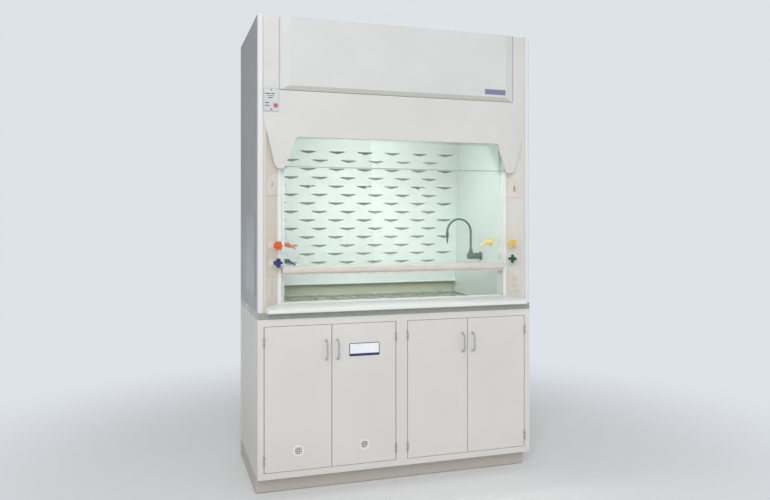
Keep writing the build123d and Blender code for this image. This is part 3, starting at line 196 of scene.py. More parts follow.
class Finish:
    def __init__(self, name, colour, roughness, metallic=0.0):
        self.material = bpy.data.materials.new(name)
        self.material.use_nodes = True
        self.tree = self.material.node_tree
        self.tree.nodes.clear()
        self.output = self.add("ShaderNodeOutputMaterial")
        self.shader = self.add("ShaderNodeBsdfPrincipled")
        self.link(self.shader.outputs[0], self.output.inputs["Surface"])
        self.set("Base Color", colour)
        self.set("Roughness", roughness)
        self.set("Metallic", metallic)
        self.place = self.add("ShaderNodeTexCoord").outputs["Object"]

    def add(self, kind, **settings):
        node = self.tree.nodes.new(kind)
        for name, value in settings.items():
            setattr(node, name, value)
        return node

    def link(self, source, target):
        self.tree.links.new(source, target)

    def set(self, socket, value):
        self.shader.inputs[socket].default_value = value

    def feed(self, socket, source):
        self.link(source, self.shader.inputs[socket])

    def stretched(self, stretch):
        mapping = self.add("ShaderNodeMapping")
        mapping.inputs["Scale"].default_value = stretch
        self.link(self.place, mapping.inputs["Vector"])
        return mapping.outputs["Vector"]

    def noise(self, scale, detail=2.0, stretch=None):
        node = self.add("ShaderNodeTexNoise")
        node.inputs["Scale"].default_value = scale
        node.inputs["Detail"].default_value = detail
        self.link(self.place if stretch is None else self.stretched(stretch), node.inputs["Vector"])
        return node.outputs["Fac"]

    def cells(self, scale):
        node = self.add("ShaderNodeTexVoronoi", feature="F1")
        node.inputs["Scale"].default_value = scale
        self.link(self.place, node.inputs["Vector"])
        return node.outputs["Distance"]

    def axis(self, letter):
        parts = self.add("ShaderNodeSeparateXYZ")
        self.link(self.place, parts.inputs[0])
        return parts.outputs[letter]

    def facing(self, letter):
        parts = self.add("ShaderNodeSeparateXYZ")
        self.link(self.add("ShaderNodeNewGeometry").outputs["Normal"], parts.inputs[0])
        return parts.outputs[letter]

    def ramp(self, source, low, high, outLow=0.0, outHigh=1.0):
        node = self.add("ShaderNodeMapRange")
        for name, value in (("From Min", low), ("From Max", high), ("To Min", outLow), ("To Max", outHigh)):
            node.inputs[name].default_value = value
        self.link(source, node.inputs["Value"])
        return node.outputs["Result"]

    def sums(self, operation, first, second):
        node = self.add("ShaderNodeMath", operation=operation)
        for socket, value in zip(node.inputs, (first, second)):
            if isinstance(value, (int, float)):
                socket.default_value = value
            else:
                self.link(value, socket)
        return node.outputs[0]

    def mix(self, share, first, second):
        node = self.add("ShaderNodeMix", data_type="RGBA")
        self.link(share, node.inputs["Factor"])
        colours = [socket for socket in node.inputs if socket.type == "RGBA"]
        for socket, value in zip(colours, (first, second)):
            if isinstance(value, (list, tuple)):
                socket.default_value = value
            else:
                self.link(value, socket)
        return [socket for socket in node.outputs if socket.type == "RGBA"][0]

    def bumps(self, *layers):
        last = None
        for height, depth in layers:
            node = self.add("ShaderNodeBump")
            node.inputs["Strength"].default_value = 1.0
            node.inputs["Distance"].default_value = depth
            self.link(height, node.inputs["Height"])
            if last is not None:
                self.link(last, node.inputs["Normal"])
            last = node.outputs["Normal"]
        self.feed("Normal", last)

    def mottle(self, tone, scale, detail, darker, paler, low=0.35, high=0.65, stretch=None):
        share = self.ramp(self.noise(scale, detail, stretch), low, high)
        return self.mix(share, shaded(tone, darker), shaded(tone, paler))

    def unevenGloss(self, scale, detail, shiniest, dullest, stretch=None, low=0.3):
        self.feed("Roughness", self.ramp(self.noise(scale, detail, stretch), low, 0.7, shiniest, dullest))


def shaded(colour, share):
    return [min(1.0, value * share) for value in colour[:3]] + [1.0]


# Powder coat on folded sheet: orange peel, a slight wave of the sheet, faint uneven gloss and handling marks

def powderCoat(name, tone, roughness=0.42, wave=0.0005, second=None, split=None):
    finish = Finish(name, tone, roughness)
    colour = finish.mottle(tone, 2.2, 3.0, 0.965, 1.02)
    if second is not None:
        letter, low, high = split
        where = finish.ramp(finish.axis(letter), low, high)
        colour = finish.mix(where, second, colour)
    speck = finish.ramp(finish.noise(700.0, 2.0), 0.60, 0.75, 0.0, 0.10)
    colour = finish.mix(speck, colour, shaded(tone, 0.80))
    finish.feed("Base Color", colour)
    finish.unevenGloss(14.0, 4.0, roughness - 0.06, roughness + 0.07, (1.0, 1.0, 0.35))
    finish.bumps((finish.noise(5.0, 1.0), wave), (finish.noise(950.0, 1.0), 0.00002))
    return finish


# Moulded polymer shell: fine leathery grain and a soft mottle, with painted shade on faces that look
# downwards when a shade tone is given

def mouldedShell(name, tone, roughness=0.5, paintedShadeBelow=None):
    finish = Finish(name, tone, roughness)
    colour = finish.mottle(tone, 3.0, 3.0, 0.97, 1.02)
    # Faces that look downwards turn to a darker tone: painted shade under the cover's bevels
    if paintedShadeBelow is not None:
        downwardShade = finish.ramp(finish.facing("Z"), -0.7, -0.4, 1.0, 0.0)
        colour = finish.mix(downwardShade, colour, paintedShadeBelow)
    finish.feed("Base Color", colour)
    finish.unevenGloss(20.0, 3.0, roughness - 0.06, roughness + 0.06)
    finish.bumps((finish.noise(4.0, 1.0), 0.0008), (finish.cells(1500.0), 0.00003))
    return finish


# Glass-fibre liner: pale green white with faint strands and cleaning wipes, and painted shade that turns it
# greener and darker low down and towards the right wall

def fibreLiner(name, tone, green):
    finish = Finish(name, tone, 0.34)
    # Greener and darker towards the bottom and towards the right wall: painted shade
    low = finish.ramp(finish.axis("Z"), 0.95, 1.75, 1.0, 0.0)
    side = finish.ramp(finish.axis("X"), -0.2, 0.62)
    share = finish.sums("MULTIPLY", finish.sums("MAXIMUM", low, side), 0.85)
    colour = finish.mix(share, tone, green)
    strands = finish.ramp(finish.noise(90.0, 4.0, (1.0, 1.0, 0.12)), 0.52, 0.72, 0.0, 0.16)
    colour = finish.mix(strands, colour, shaded(green, 0.86))
    wipes = finish.ramp(finish.noise(3.0, 3.0, (0.5, 1.0, 2.0)), 0.45, 0.7, 0.0, 0.12)
    colour = finish.mix(wipes, colour, shaded(tone, 0.90))
    finish.feed("Base Color", colour)
    finish.unevenGloss(8.0, 4.0, 0.28, 0.42)
    finish.bumps((finish.noise(240.0, 3.0, (1.0, 1.0, 0.3)), 0.00004))
    return finish


# Cast resin slab: fine dark and pale grains, and a few faint rings and wipes on top

def resinSlab(name, tone):
    finish = Finish(name, tone, 0.30)
    dark = finish.ramp(finish.noise(520.0, 2.0), 0.58, 0.66, 0.0, 0.55)
    colour = finish.mix(dark, tone, shaded(tone, 0.55))
    pale = finish.ramp(finish.noise(760.0, 2.0), 0.64, 0.72, 0.0, 0.45)
    colour = finish.mix(pale, colour, shaded(tone, 1.7))
    worn = finish.ramp(finish.noise(5.0, 5.0), 0.45, 0.75, 0.0, 0.25)
    colour = finish.mix(worn, colour, shaded(tone, 1.18))
    finish.feed("Base Color", colour)
    finish.unevenGloss(11.0, 4.0, 0.20, 0.38)
    finish.bumps((finish.noise(420.0, 3.0), 0.00004))
    return finish


# Brushed metal: lines along one axis, with smudges in the gloss

def brushedMetal(name, tone, roughness=0.30, along="Z"):
    stretch = {"X": (0.03, 1.0, 1.0), "Z": (1.0, 1.0, 0.03)}[along]
    finish = Finish(name, tone, roughness, metallic=1.0)
    lines = finish.noise(1400.0, 3.0, stretch)
    smudge = finish.noise(30.0, 3.0)
    finish.feed("Base Color", finish.mix(finish.ramp(lines, 0.35, 0.65),
                                         shaded(tone, 0.84), shaded(tone, 1.10)))
    rough = finish.sums("ADD", finish.ramp(smudge, 0.3, 0.7, roughness - 0.08, roughness + 0.05),
                        finish.ramp(lines, 0.3, 0.7, -0.03, 0.06))
    finish.feed("Roughness", rough)
    finish.bumps((lines, 0.00001))
    return finish


# Glossy moulded plastic: faint flow marks, mould texture and rubbed spots

def glossPlastic(name, tone, roughness=0.24):
    finish = Finish(name, tone, roughness)
    finish.feed("Base Color", finish.mottle(tone, 38.0, 3.0, 0.90, 1.06, 0.35, 0.68, (1.0, 1.0, 0.4)))
    finish.unevenGloss(120.0, 3.0, roughness - 0.05, roughness + 0.12, low=0.35)
    finish.set("Coat Weight", 0.35)
    finish.set("Coat Roughness", 0.12)
    finish.set("Subsurface Weight", 0.04)
    finish.set("Subsurface Radius", (0.002, 0.002, 0.002))
    finish.bumps((finish.noise(900.0, 1.0), 0.00001))
    return finish


# Plain moulded plastic, satin

def satinPlastic(name, tone, roughness=0.40):
    finish = Finish(name, tone, roughness)
    finish.feed("Base Color", finish.mottle(tone, 16.0, 3.0, 0.955, 1.02))
    finish.unevenGloss(60.0, 2.0, roughness - 0.05, roughness + 0.06)
    finish.bumps((finish.noise(1300.0, 1.0), 0.000015))
    return finish


# Epoxy coat over brass fittings: thick, glossy, slightly uneven

def epoxyCoat(name, tone):
    finish = Finish(name, tone, 0.20)
    finish.feed("Base Color", finish.mottle(tone, 45.0, 3.0, 0.82, 1.12))
    finish.unevenGloss(80.0, 3.0, 0.16, 0.32)
    finish.set("Coat Weight", 0.4)
    finish.set("Coat Roughness", 0.08)
    finish.bumps((finish.noise(160.0, 2.0), 0.00008))
    return finish


# Safety glass: lamps reach through it, faint green, greener at its cut edges, with wiped smears

def clearPane(name, tone, edgeTone):
    finish = Finish(name, tone, 0.02)
    edge = finish.sums("ABSOLUTE", finish.facing("Y"), 0.0)
    finish.feed("Base Color", finish.mix(finish.ramp(edge, 0.2, 0.6), edgeTone, tone))
    finish.feed("Roughness", finish.ramp(finish.noise(6.0, 5.0, (1.0, 1.0, 0.3)), 0.45, 0.8, 0.0, 0.05))
    finish.set("Transmission Weight", 1.0)
    finish.set("IOR", 1.5)
    through = finish.add("ShaderNodeBsdfTransparent")
    through.inputs["Color"].default_value = shaded(tone, 0.97)
    pick = finish.add("ShaderNodeMixShader")
    finish.link(finish.add("ShaderNodeLightPath").outputs["Is Shadow Ray"], pick.inputs[0])
    finish.link(finish.shader.outputs[0], pick.inputs[1])
    finish.link(through.outputs[0], pick.inputs[2])
    finish.link(pick.outputs[0], finish.output.inputs["Surface"])
    return finish


# Cast iron: rough sand-cast skin

def castIron(name, tone):
    finish = Finish(name, tone, 0.62)
    finish.feed("Base Color", finish.mottle(tone, 60.0, 5.0, 0.7, 1.25, 0.4))
    finish.unevenGloss(90.0, 3.0, 0.5, 0.75)
    finish.bumps((finish.noise(260.0, 5.0), 0.00035))
    return finish


# Lamp tube: it glows between its metal ends

def glowingTube(name, tone):
    finish = Finish(name, tone, 0.35)
    finish.set("Emission Strength", 1.2)
    ends = finish.ramp(finish.sums("ABSOLUTE", finish.axis("X"), 0.0), 0.286, 0.294)
    finish.feed("Base Color", finish.mix(ends, tone, tones["tubeEnds"]))
    finish.feed("Emission Color", finish.mix(ends, tone, (0.0, 0.0, 0.0, 1.0)))
    finish.bumps((finish.noise(700.0, 2.0), 0.00001))
    return finish


# Dull black rubber and print

def dullBlack(name, tone):
    finish = Finish(name, tone, 0.55)
    finish.feed("Base Color", finish.mottle(tone, 50.0, 3.0, 0.8, 1.3))
    finish.bumps((finish.noise(800.0, 2.0), 0.00002))
    return finish


screenTones = {
    # Some tones here stand in for light: the side panel bead's white is a painted highlight; the left post's
    # tan, the toe kick's tone, the rear liner's olive and the cover bevel's tone are painted shade
    "cream": (217, 215, 211), "sidePanel": (166, 170, 171), "bead": (228, 228, 230),
    "cover": (172, 179, 183), "post": (216, 208, 194), "postRight": (219, 216, 210),
    "cabinet": (223, 220, 215), "toeKickShade": (194, 188, 181), "doorEdge": (150, 148, 144),
    "sill": (240, 240, 238), "liner": (246, 249, 248), "linerShadeGreen": (208, 217, 211),
    "backLinerShade": (208, 210, 190), "raisedCover": (216, 216, 213), "coverBevelShade": (190, 187, 175),
    "slab": (160, 165, 154), "white": (238, 237, 234), "handle": (222, 214, 206), "plate": (222, 214, 204),
    "monitor": (206, 208, 208), "bonnet": (226, 222, 214), "red": (200, 36, 44), "orange": (250, 98, 40),
    "blue": (28, 52, 122), "yellow": (242, 200, 84), "green": (22, 84, 62), "faucet": (32, 82, 58),
    "navy": (34, 52, 120), "plateWhite": (246, 247, 250), "plateGrey": (120, 126, 152),
    "greyPrint": (168, 172, 176), "sealant": (214, 222, 216), "tubeEnds": (170, 172, 175),
}
tones = {name: screenTone(*shares) for name, shares in screenTones.items()}
tones.update({
    "steel": (0.56, 0.57, 0.58, 1.0), "ductSteel": (0.60, 0.61, 0.62, 1.0),
    "plateRim": (0.55, 0.56, 0.60, 1.0),
    "glass": (0.93, 0.97, 0.95, 1.0), "glassEdge": (0.55, 0.80, 0.68, 1.0), "lens": (0.95, 0.97, 0.97, 1.0),
    "lensEdge": (0.85, 0.93, 0.93, 1.0), "iron": (0.10, 0.10, 0.105, 1.0), "tube": (0.92, 0.96, 1.0, 1.0),
    "rubber": (0.02, 0.02, 0.022, 1.0),
})

# Coats that change along one axis, between two planes: the side panel's white bead is a painted highlight,
# the left post's tan, the toe kick's darker tone and the rear panel's olive inner face are painted shade, and
# the doors turn to a darker edge tone

finishes = {
    # The side panel's front bead turns white along Y: a painted highlight, a lit copy of the same grey paint
    "sidePaint": powderCoat("panelPowderCoat", tones["sidePanel"], second=tones["bead"],
                            split=("Y", -0.3315, -0.3295)),
    "coverPaint": powderCoat("accessCoverCoat", tones["cover"], 0.40, 0.0008),
    # The left post turns tan along X: painted shade, a shaded copy of the right post's paint
    "postPaint": powderCoat("postCoatShadedLeft", tones["postRight"], 0.40, 0.0003, second=tones["post"],
                            split=("X", -0.1, 0.1)),
    # Below the toe kick's height the cabinet coat turns darker: painted shade
    "cabinetPaint": powderCoat("cabinetPowderCoat", tones["cabinet"], 0.44, 0.0006,
                               second=tones["toeKickShade"], split=("Z", 0.088, 0.093)),
    "doorPaint": powderCoat("doorPowderCoat", tones["cabinet"], 0.42, 0.0006,
                            second=tones["doorEdge"], split=("Y", -0.3458, -0.3452)),
    "sillPaint": powderCoat("sillPowderCoat", tones["sill"], 0.36, 0.0003),
    "roofPaint": powderCoat("roofPowderCoat", shaded(tones["sidePanel"], 1.1), 0.46, 0.0010),
    # The rear panel's inner face takes the liner's olive tone, darkened as painted plenum shade
    "rearPaint": powderCoat("rearPanelCoat", shaded(tones["sidePanel"], 1.1), 0.46, 0.0010,
                            second=tones["backLinerShade"], split=("Y", 0.4022, 0.4030)),
    "headerShell": mouldedShell("headerMoulding", tones["cream"]),
    "raisedCover": mouldedShell("raisedCoverMoulding", tones["raisedCover"], 0.46,
                                paintedShadeBelow=tones["coverBevelShade"]),
    "liner": fibreLiner("fibreLiner", tones["liner"], tones["linerShadeGreen"]),
    "slab": resinSlab("castResin", tones["slab"]),
    "steel": brushedMetal("brushedSteel", tones["steel"]),
    "ductSteel": brushedMetal("ductSteel", tones["ductSteel"], 0.36),
    "shaftSteel": brushedMetal("turnedSteel", tones["steel"], 0.26, "X"),
    "white": satinPlastic("whiteGuide", tones["white"]),
    "handle": satinPlastic("handleExtrusion", tones["handle"], 0.36),
    "plate": satinPlastic("wallPlate", tones["plate"], 0.38),
    "monitor": satinPlastic("monitorCase", tones["monitor"], 0.42),
    "red": glossPlastic("redKey", tones["red"], 0.28),
    "orange": glossPlastic("orangeKnob", tones["orange"]),
    "blue": glossPlastic("blueKnob", tones["blue"]),
    "yellow": glossPlastic("yellowKnob", tones["yellow"]),
    "green": glossPlastic("greenKnob", tones["green"]),
    "faucet": epoxyCoat("faucetCoat", tones["faucet"]),
    "bonnet": satinPlastic("bonnetCollar", tones["bonnet"], 0.34),
    "glass": clearPane("safetyGlass", tones["glass"], tones["glassEdge"]),
    "lens": clearPane("lampLens", tones["lens"], tones["lensEdge"]),
    "iron": castIron("weightIron", tones["iron"]),
    "tube": glowingTube("lampTube", tones["tube"]),
    "dark": dullBlack("darkRubber", tones["rubber"]),
    "navy": satinPlastic("navyBorder", tones["navy"], 0.35),
    "plateWhite": satinPlastic("plateWhite", tones["plateWhite"], 0.30),
    "plateGrey": satinPlastic("plateField", tones["plateGrey"], 0.32),
    "plateSilver": brushedMetal("plateRim", tones["plateRim"], 0.32, "X"),
    "greyPrint": satinPlastic("greyPrint", tones["greyPrint"], 0.45),
    "sealant": satinPlastic("sealantBead", tones["sealant"], 0.34),
}
dressed = {
    "side_panels": "sidePaint", "access_covers": "coverPaint", "rear_panel": "rearPaint",
    "roof_panel": "roofPaint", "front_posts": "postPaint", "sash_tracks": "white",
    "airfoil_sill": "sillPaint",
    "header_fascia": "headerShell", "upper_front_cover": "raisedCover", "work_surface": "slab",
    "cabinet_left": "cabinetPaint", "cabinet_right": "cabinetPaint", "cabinet_shelves": "cabinetPaint",
    "cabinet_hinges": "steel", "levelling_feet": "steel", "liner_sides": "liner", "liner_ceiling": "liner",
    "lower_baffle": "liner", "upper_baffle": "liner", "top_baffle": "liner", "lamp_housing": "coverPaint",
    "lamp_lens": "lens", "lamp_tubes": "tube", "sash_glass": "glass", "view_pane": "glass",
    "sash_handle": "handle", "sash_glides": "white", "sash_shaft": "shaftSteel", "sash_cables": "steel",
    "sash_weight_left": "iron", "sash_weight_right": "iron", "head_rail": "ductSteel",
    "exhaust_collar": "ductSteel", "switch_plates": "plate", "duplex_outlets": "plate",
    "light_switch_toggle": "plate", "blower_switch_toggle": "plate", "valve_bonnets": "bonnet",
    "knob_left_upper": "orange", "knob_left_lower": "blue", "knob_right_upper": "yellow",
    "knob_right_lower": "green", "nozzle_left_upper": "orange", "nozzle_left_lower": "blue",
    "nozzle_right": "yellow", "faucet_base": "faucet", "gooseneck": "faucet", "air_monitor": "monitor",
    "monitor_button": "red", "door_vent_left_outer": "white", "door_vent_left_inner": "white",
}
for place in ("left_outer", "left_inner", "right_inner", "right_outer"):
    dressed["door_" + place] = "doorPaint"
    dressed["door_pull_" + place] = "steel"


def dressNodes():
    for name, node in cadNodes.items():
        material = finishes[dressed[name]].material
        node.data.materials.clear()
        node.data.materials.append(material)


dressNodes()
print("finishes made and CAD nodes dressed")


# Shared mesh work. Every piece ends as a mesh whose place is in its vertices. A piece that stretches
# between two bodies is given no body here

usualSharpAngle = 35.0


def finishPiece(name, mesh, material, body, sharpAngle=usualSharpAngle):
    mesh.materials.clear()
    mesh.materials.append(finishes[material].material)
    mesh.polygons.foreach_set("use_smooth", [True] * len(mesh.polygons))
    mesh.set_sharp_from_angle(angle=math.radians(sharpAngle))
    mesh.update()
    piece = bpy.data.objects.new(name, mesh)
    shownObjects.link(piece)
    if body is not None:
        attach(piece, body)
    return piece


def pieceFrom(builder, name, material, body):
    bmesh.ops.recalc_face_normals(builder, faces=builder.faces)
    mesh = bpy.data.meshes.new(name)
    builder.to_mesh(mesh)
    builder.free()
    finishPiece(name, mesh, material, body)


# Rounded plates standing on a plane: place is the middle, right and up lie in it, out leaves it

quarters = ((1, 1, 0), (-1, 1, 90), (-1, -1, 180), (1, -1, 270))
leastCorner = 0.0004


def roundedOutline(width, height, corner, steps):
    outline = []
    for signX, signY, start in quarters:
        for step in range(steps + 1):
            angle = math.radians(start + 90.0 * step / steps)
            outline.append((signX * (width / 2 - corner) + corner * math.cos(angle),
                            signY * (height / 2 - corner) + corner * math.sin(angle)))
    return outline


def ringWalls(builder, rings):
    for low, high in zip(rings, rings[1:]):
        for index in range(len(low)):
            after = (index + 1) % len(low)
            builder.faces.new((low[index], low[after], high[after], high[index]))


def roundedSlab(builder, place, right, up, width, height, thickness, corner, edge=0.0, steps=6):
    out = right.cross(up).normalized()
    levels = [(0.0, 0.0), (thickness - edge, 0.0)]
    if edge > 0.0:
        levels += [(thickness - edge * 0.3, edge * 0.3), (thickness, edge)]
    rings = []
    for lift, shrink in levels:
        shareX = (width / 2 - shrink) / (width / 2)
        shareY = (height / 2 - shrink) / (height / 2)
        rings.append([builder.verts.new(place + right * (x * shareX) + up * (y * shareY) + out * lift)
                      for x, y in roundedOutline(width, height, corner, steps)])
    ringWalls(builder, rings)
    builder.faces.new(rings[-1])
    builder.faces.new(list(reversed(rings[0])))


def framePlate(builder, place, right, up, width, height, border, thickness, corner):
    out = right.cross(up).normalized()
    rings = []
    for shrink, lift in ((0.0, 0.0), (0.0, thickness), (border, thickness), (border, 0.0)):
        radius = max(corner - shrink, leastCorner)
        outline = roundedOutline(width - 2 * shrink, height - 2 * shrink, radius, 6)
        rings.append([builder.verts.new(place + right * x + up * y + out * lift) for x, y in outline])
    ringWalls(builder, rings + rings[:1])


# Geometry Nodes trees: one class to build them and to turn what they grow into a plain mesh

class Grower:
    def __init__(self, name, sizes):
        self.group = bpy.data.node_groups.new(name, "GeometryNodeTree")
        face = self.group.interface
        face.new_socket(name="Start", in_out="INPUT", socket_type="NodeSocketGeometry")
        for size, value in sizes.items():
            kind = "NodeSocketInt" if isinstance(value, int) else "NodeSocketFloat"
            face.new_socket(name=size, in_out="INPUT", socket_type=kind).default_value = value
        face.new_socket(name="Finish", in_out="INPUT", socket_type="NodeSocketMaterial")
        face.new_socket(name="Result", in_out="OUTPUT", socket_type="NodeSocketGeometry")
        self.inputs = self.add("NodeGroupInput").outputs
        self.outlet = self.add("NodeGroupOutput")

    def add(self, kind, wires=None, **settings):
        node = self.group.nodes.new(kind)
        for name, value in settings.items():
            setattr(node, name, value)
        for socket, value in (wires or {}).items():
            self.wire(value, node, socket)
        return node

    def wire(self, value, node, socket):
        target = node.inputs[socket]
        if isinstance(value, bpy.types.NodeSocket):
            self.group.links.new(value, target)
        else:
            target.default_value = value

    def maths(self, operation, first, second=0.0):
        return self.add("ShaderNodeMath", {0: first, 1: second}, operation=operation).outputs[0]

    def close(self, geometry):
        real = self.add("GeometryNodeRealizeInstances", {"Geometry": geometry})
        coated = self.add("GeometryNodeSetMaterial", {"Geometry": real.outputs[0],
                                                      "Material": self.inputs["Finish"]})
        self.wire(coated.outputs[0], self.outlet, 0)

    def grow(self, name, start, material, body, slotName, sizes=None, sharpAngle=usualSharpAngle):
        seed = bpy.data.objects.new(name + "Start", start)
        shownObjects.link(seed)
        modifier = seed.modifiers.new("grow", "NODES")
        modifier.node_group = self.group
        wanted = dict(sizes or {})
        wanted["Finish"] = finishes[material].material
        for item in self.group.interface.items_tree:
            if item.item_type == "SOCKET" and item.in_out == "INPUT" and item.name in wanted:
                modifier[item.identifier] = wanted[item.name]
        shown = seed.evaluated_get(bpy.context.evaluated_depsgraph_get())
        mesh = bpy.data.meshes.new_from_object(shown)
        mesh.name = name
        bpy.data.objects.remove(seed)
        return finishPiece(name, mesh, material, body, sharpAngle)


def pointMesh(name, points):
    mesh = bpy.data.meshes.new(name)
    mesh.from_pydata([place for place, aim in points], [], [])
    aims = mesh.attributes.new("aim", "FLOAT_VECTOR", "POINT")
    for index, (place, aim) in enumerate(points):
        aims.data[index].vector = Vector(aim).normalized()
    return mesh


# Screws: a domed head with a cross recess on every point, each turned its own way

screwShape = {"sides": 20, "waist": 0.93, "crown": 0.62, "skirtShare": 0.55, "domeShare": 0.45,
              "slotReach": 1.15, "slotTall": 1.2}


def screwTree():
    s = screwShape
    tree = Grower("screwHeads", {"Head radius": 0.004, "Head height": 0.0022, "Recess": 0.0011, "Seed": 3})
    radius, height, recess = (tree.inputs[key] for key in ("Head radius", "Head height", "Recess"))
    waist = tree.maths("MULTIPLY", radius, s["waist"])
    skirtHeight = tree.maths("MULTIPLY", height, s["skirtShare"])
    skirt = tree.add("GeometryNodeMeshCone", {
        "Vertices": s["sides"], "Side Segments": 1, "Radius Top": waist, "Radius Bottom": radius,
        "Depth": skirtHeight})
    dome = tree.add("GeometryNodeMeshCone", {
        "Vertices": s["sides"], "Side Segments": 1, "Radius Top": tree.maths("MULTIPLY", radius, s["crown"]),
        "Radius Bottom": waist, "Depth": tree.maths("MULTIPLY", height, s["domeShare"])})
    lift = tree.add("ShaderNodeCombineXYZ", {"Z": skirtHeight})
    dome = tree.add("GeometryNodeTransform", {"Geometry": dome.outputs[0], "Translation": lift.outputs[0]})
    joined = tree.add("GeometryNodeJoinGeometry")
    tree.wire(skirt.outputs[0], joined, 0)
    tree.wire(dome.outputs[0], joined, 0)
    merged = tree.add("GeometryNodeMergeByDistance", {"Geometry": joined.outputs[0], "Distance": 0.00001})
    long = tree.maths("MULTIPLY", radius, s["slotReach"])
    cutters = tree.add("GeometryNodeJoinGeometry")
    for first, second in ((long, recess), (recess, long)):
        tall = tree.maths("MULTIPLY", height, s["slotTall"])
        size = tree.add("ShaderNodeCombineXYZ", {0: first, 1: second, 2: tall})
        bar = tree.add("GeometryNodeMeshCube", {"Size": size.outputs[0]})
        rise = tree.add("ShaderNodeCombineXYZ", {"Z": height})
        bar = tree.add("GeometryNodeTransform", {"Geometry": bar.outputs[0], "Translation": rise.outputs[0]})
        tree.wire(bar.outputs[0], cutters, 0)
    head = tree.add("GeometryNodeMeshBoolean", operation="DIFFERENCE")
    tree.wire(merged.outputs[0], head, 0)
    tree.wire(cutters.outputs[0], head, 1)
    aim = tree.add("GeometryNodeInputNamedAttribute", {"Name": "aim"}, data_type="FLOAT_VECTOR")
    turn = tree.add("FunctionNodeAlignRotationToVector", {"Vector": aim.outputs[0]}, axis="Z")
    spin = tree.add("FunctionNodeRandomValue", {"Seed": tree.inputs["Seed"]}, data_type="FLOAT")
    spinAngles = [socket for socket in spin.inputs if socket.type == "VALUE"]
    spinAngles[1].default_value = math.pi
    chosen = [socket for socket in spin.outputs if socket.enabled][0]
    twist = tree.add("FunctionNodeAxisAngleToRotation", {"Axis": (0.0, 0.0, 1.0), "Angle": chosen})
    both = tree.add("FunctionNodeRotateRotation", {0: turn.outputs[0], 1: twist.outputs[0]},
                    rotation_space="LOCAL")
    placed = tree.add("GeometryNodeInstanceOnPoints", {
        "Points": tree.inputs["Start"], "Instance": head.outputs[0], "Rotation": both.outputs[0]})
    tree.close(placed.outputs[0])
    return tree


screws = screwTree()


# Bead or tube drawn along a path, used for sealant, gaskets and printed outlines

def beadTree():
    tree = Grower("beadAlong", {"Bead radius": 0.003, "Sides": 8})
    path = tree.add("GeometryNodeMeshToCurve", {"Mesh": tree.inputs["Start"]})
    ring = tree.add("GeometryNodeCurvePrimitiveCircle", {"Resolution": tree.inputs["Sides"],
                                                         "Radius": tree.inputs["Bead radius"]})
    tube = tree.add("GeometryNodeCurveToMesh", {"Curve": path.outputs[0], "Profile Curve": ring.outputs[0],
                                                "Fill Caps": True})
    tree.close(tube.outputs[0])
    return tree


beads = beadTree()


def pathMesh(name, runs):
    mesh = bpy.data.meshes.new(name)
    places, edges = [], []
    for run, closed in runs:
        first = len(places)
        places += [tuple(place) for place in run]
        edges += [(first + step, first + step + 1) for step in range(len(run) - 1)]
        if closed:
            edges.append((first + len(run) - 1, first))
    mesh.from_pydata(places, edges, [])
    return mesh


# The angled post faces and the sloping flank, as frames: middle, across, outwards

sides = {
    "left": {"middle": Vector((-0.686, -0.311, 0.0)), "across": Vector((0.74984, 0.66162, 0.0)),
             "out": Vector((0.66162, -0.74984, 0.0))},
    "right": {"middle": Vector((0.686, -0.311, 0.0)), "across": Vector((0.74984, -0.66162, 0.0)),
              "out": Vector((-0.66162, -0.74984, 0.0))},
}
upwards = Vector((0.0, 0.0, 1.0))
flank = {"middle": Vector((-0.6945, -0.34699, 2.001)), "across": Vector((0.99698, -0.07767, 0.0)),
         "out": Vector((-0.07767, -0.99698, 0.0))}


def onSide(side, across, height, out):
    place = sides[side]["middle"] + sides[side]["across"] * across + sides[side]["out"] * out
    return Vector((place.x, place.y, height))


# Screws. Sizes: radius and height of the head, width of its cross recess, seed of the turns

screwSizes = {
    "accessCoverScrews": (0.0045, 0.0020, 0.0012, 5), "rearPanelScrews": (0.0050, 0.0024, 0.0013, 8),
    "wallPlateScrews": (0.0032, 0.0011, 0.0009, 11), "monitorScrews": (0.0034, 0.0016, 0.0009, 2),
    "handleEndScrews": (0.0023, 0.0010, 0.0006, 14), "trackScrews": (0.0022, 0.0009, 0.0006, 17),
    "roofScrews": (0.0050, 0.0024, 0.0013, 21),
}
coverScrews = {"x": 0.7643, "front": -0.249, "back": 0.124, "low": 1.005, "high": 1.425, "margin": 0.013,
               "across": 4, "up": 5}
rearScrews = {"y": 0.405, "x": 0.728, "low": 0.955, "high": 2.395, "across": 7, "up": 8}
plateScrews = {"switchHeight": 1.580, "switchReach": 0.04077, "outletHeight": 1.049, "faceOut": 0.0038}
monitorScrews = {"reach": 0.049, "out": 0.0093}


def placeScrews(name, points, look, body="frame", slotName="steel"):
    radius, height, recess, seed = screwSizes[name]
    screws.grow(name, pointMesh(name + "Points", points), look, body, slotName,
                {"Head radius": radius, "Head height": height, "Recess": recess, "Seed": seed})


def evenly(low, high, count):
    return [low + (high - low) * step / (count - 1) for step in range(count)]


def border(across, up):
    ends = [(first, second) for first in across for second in (up[0], up[-1])]
    return ends + [(first, second) for second in up[1:-1] for first in (across[0], across[-1])]


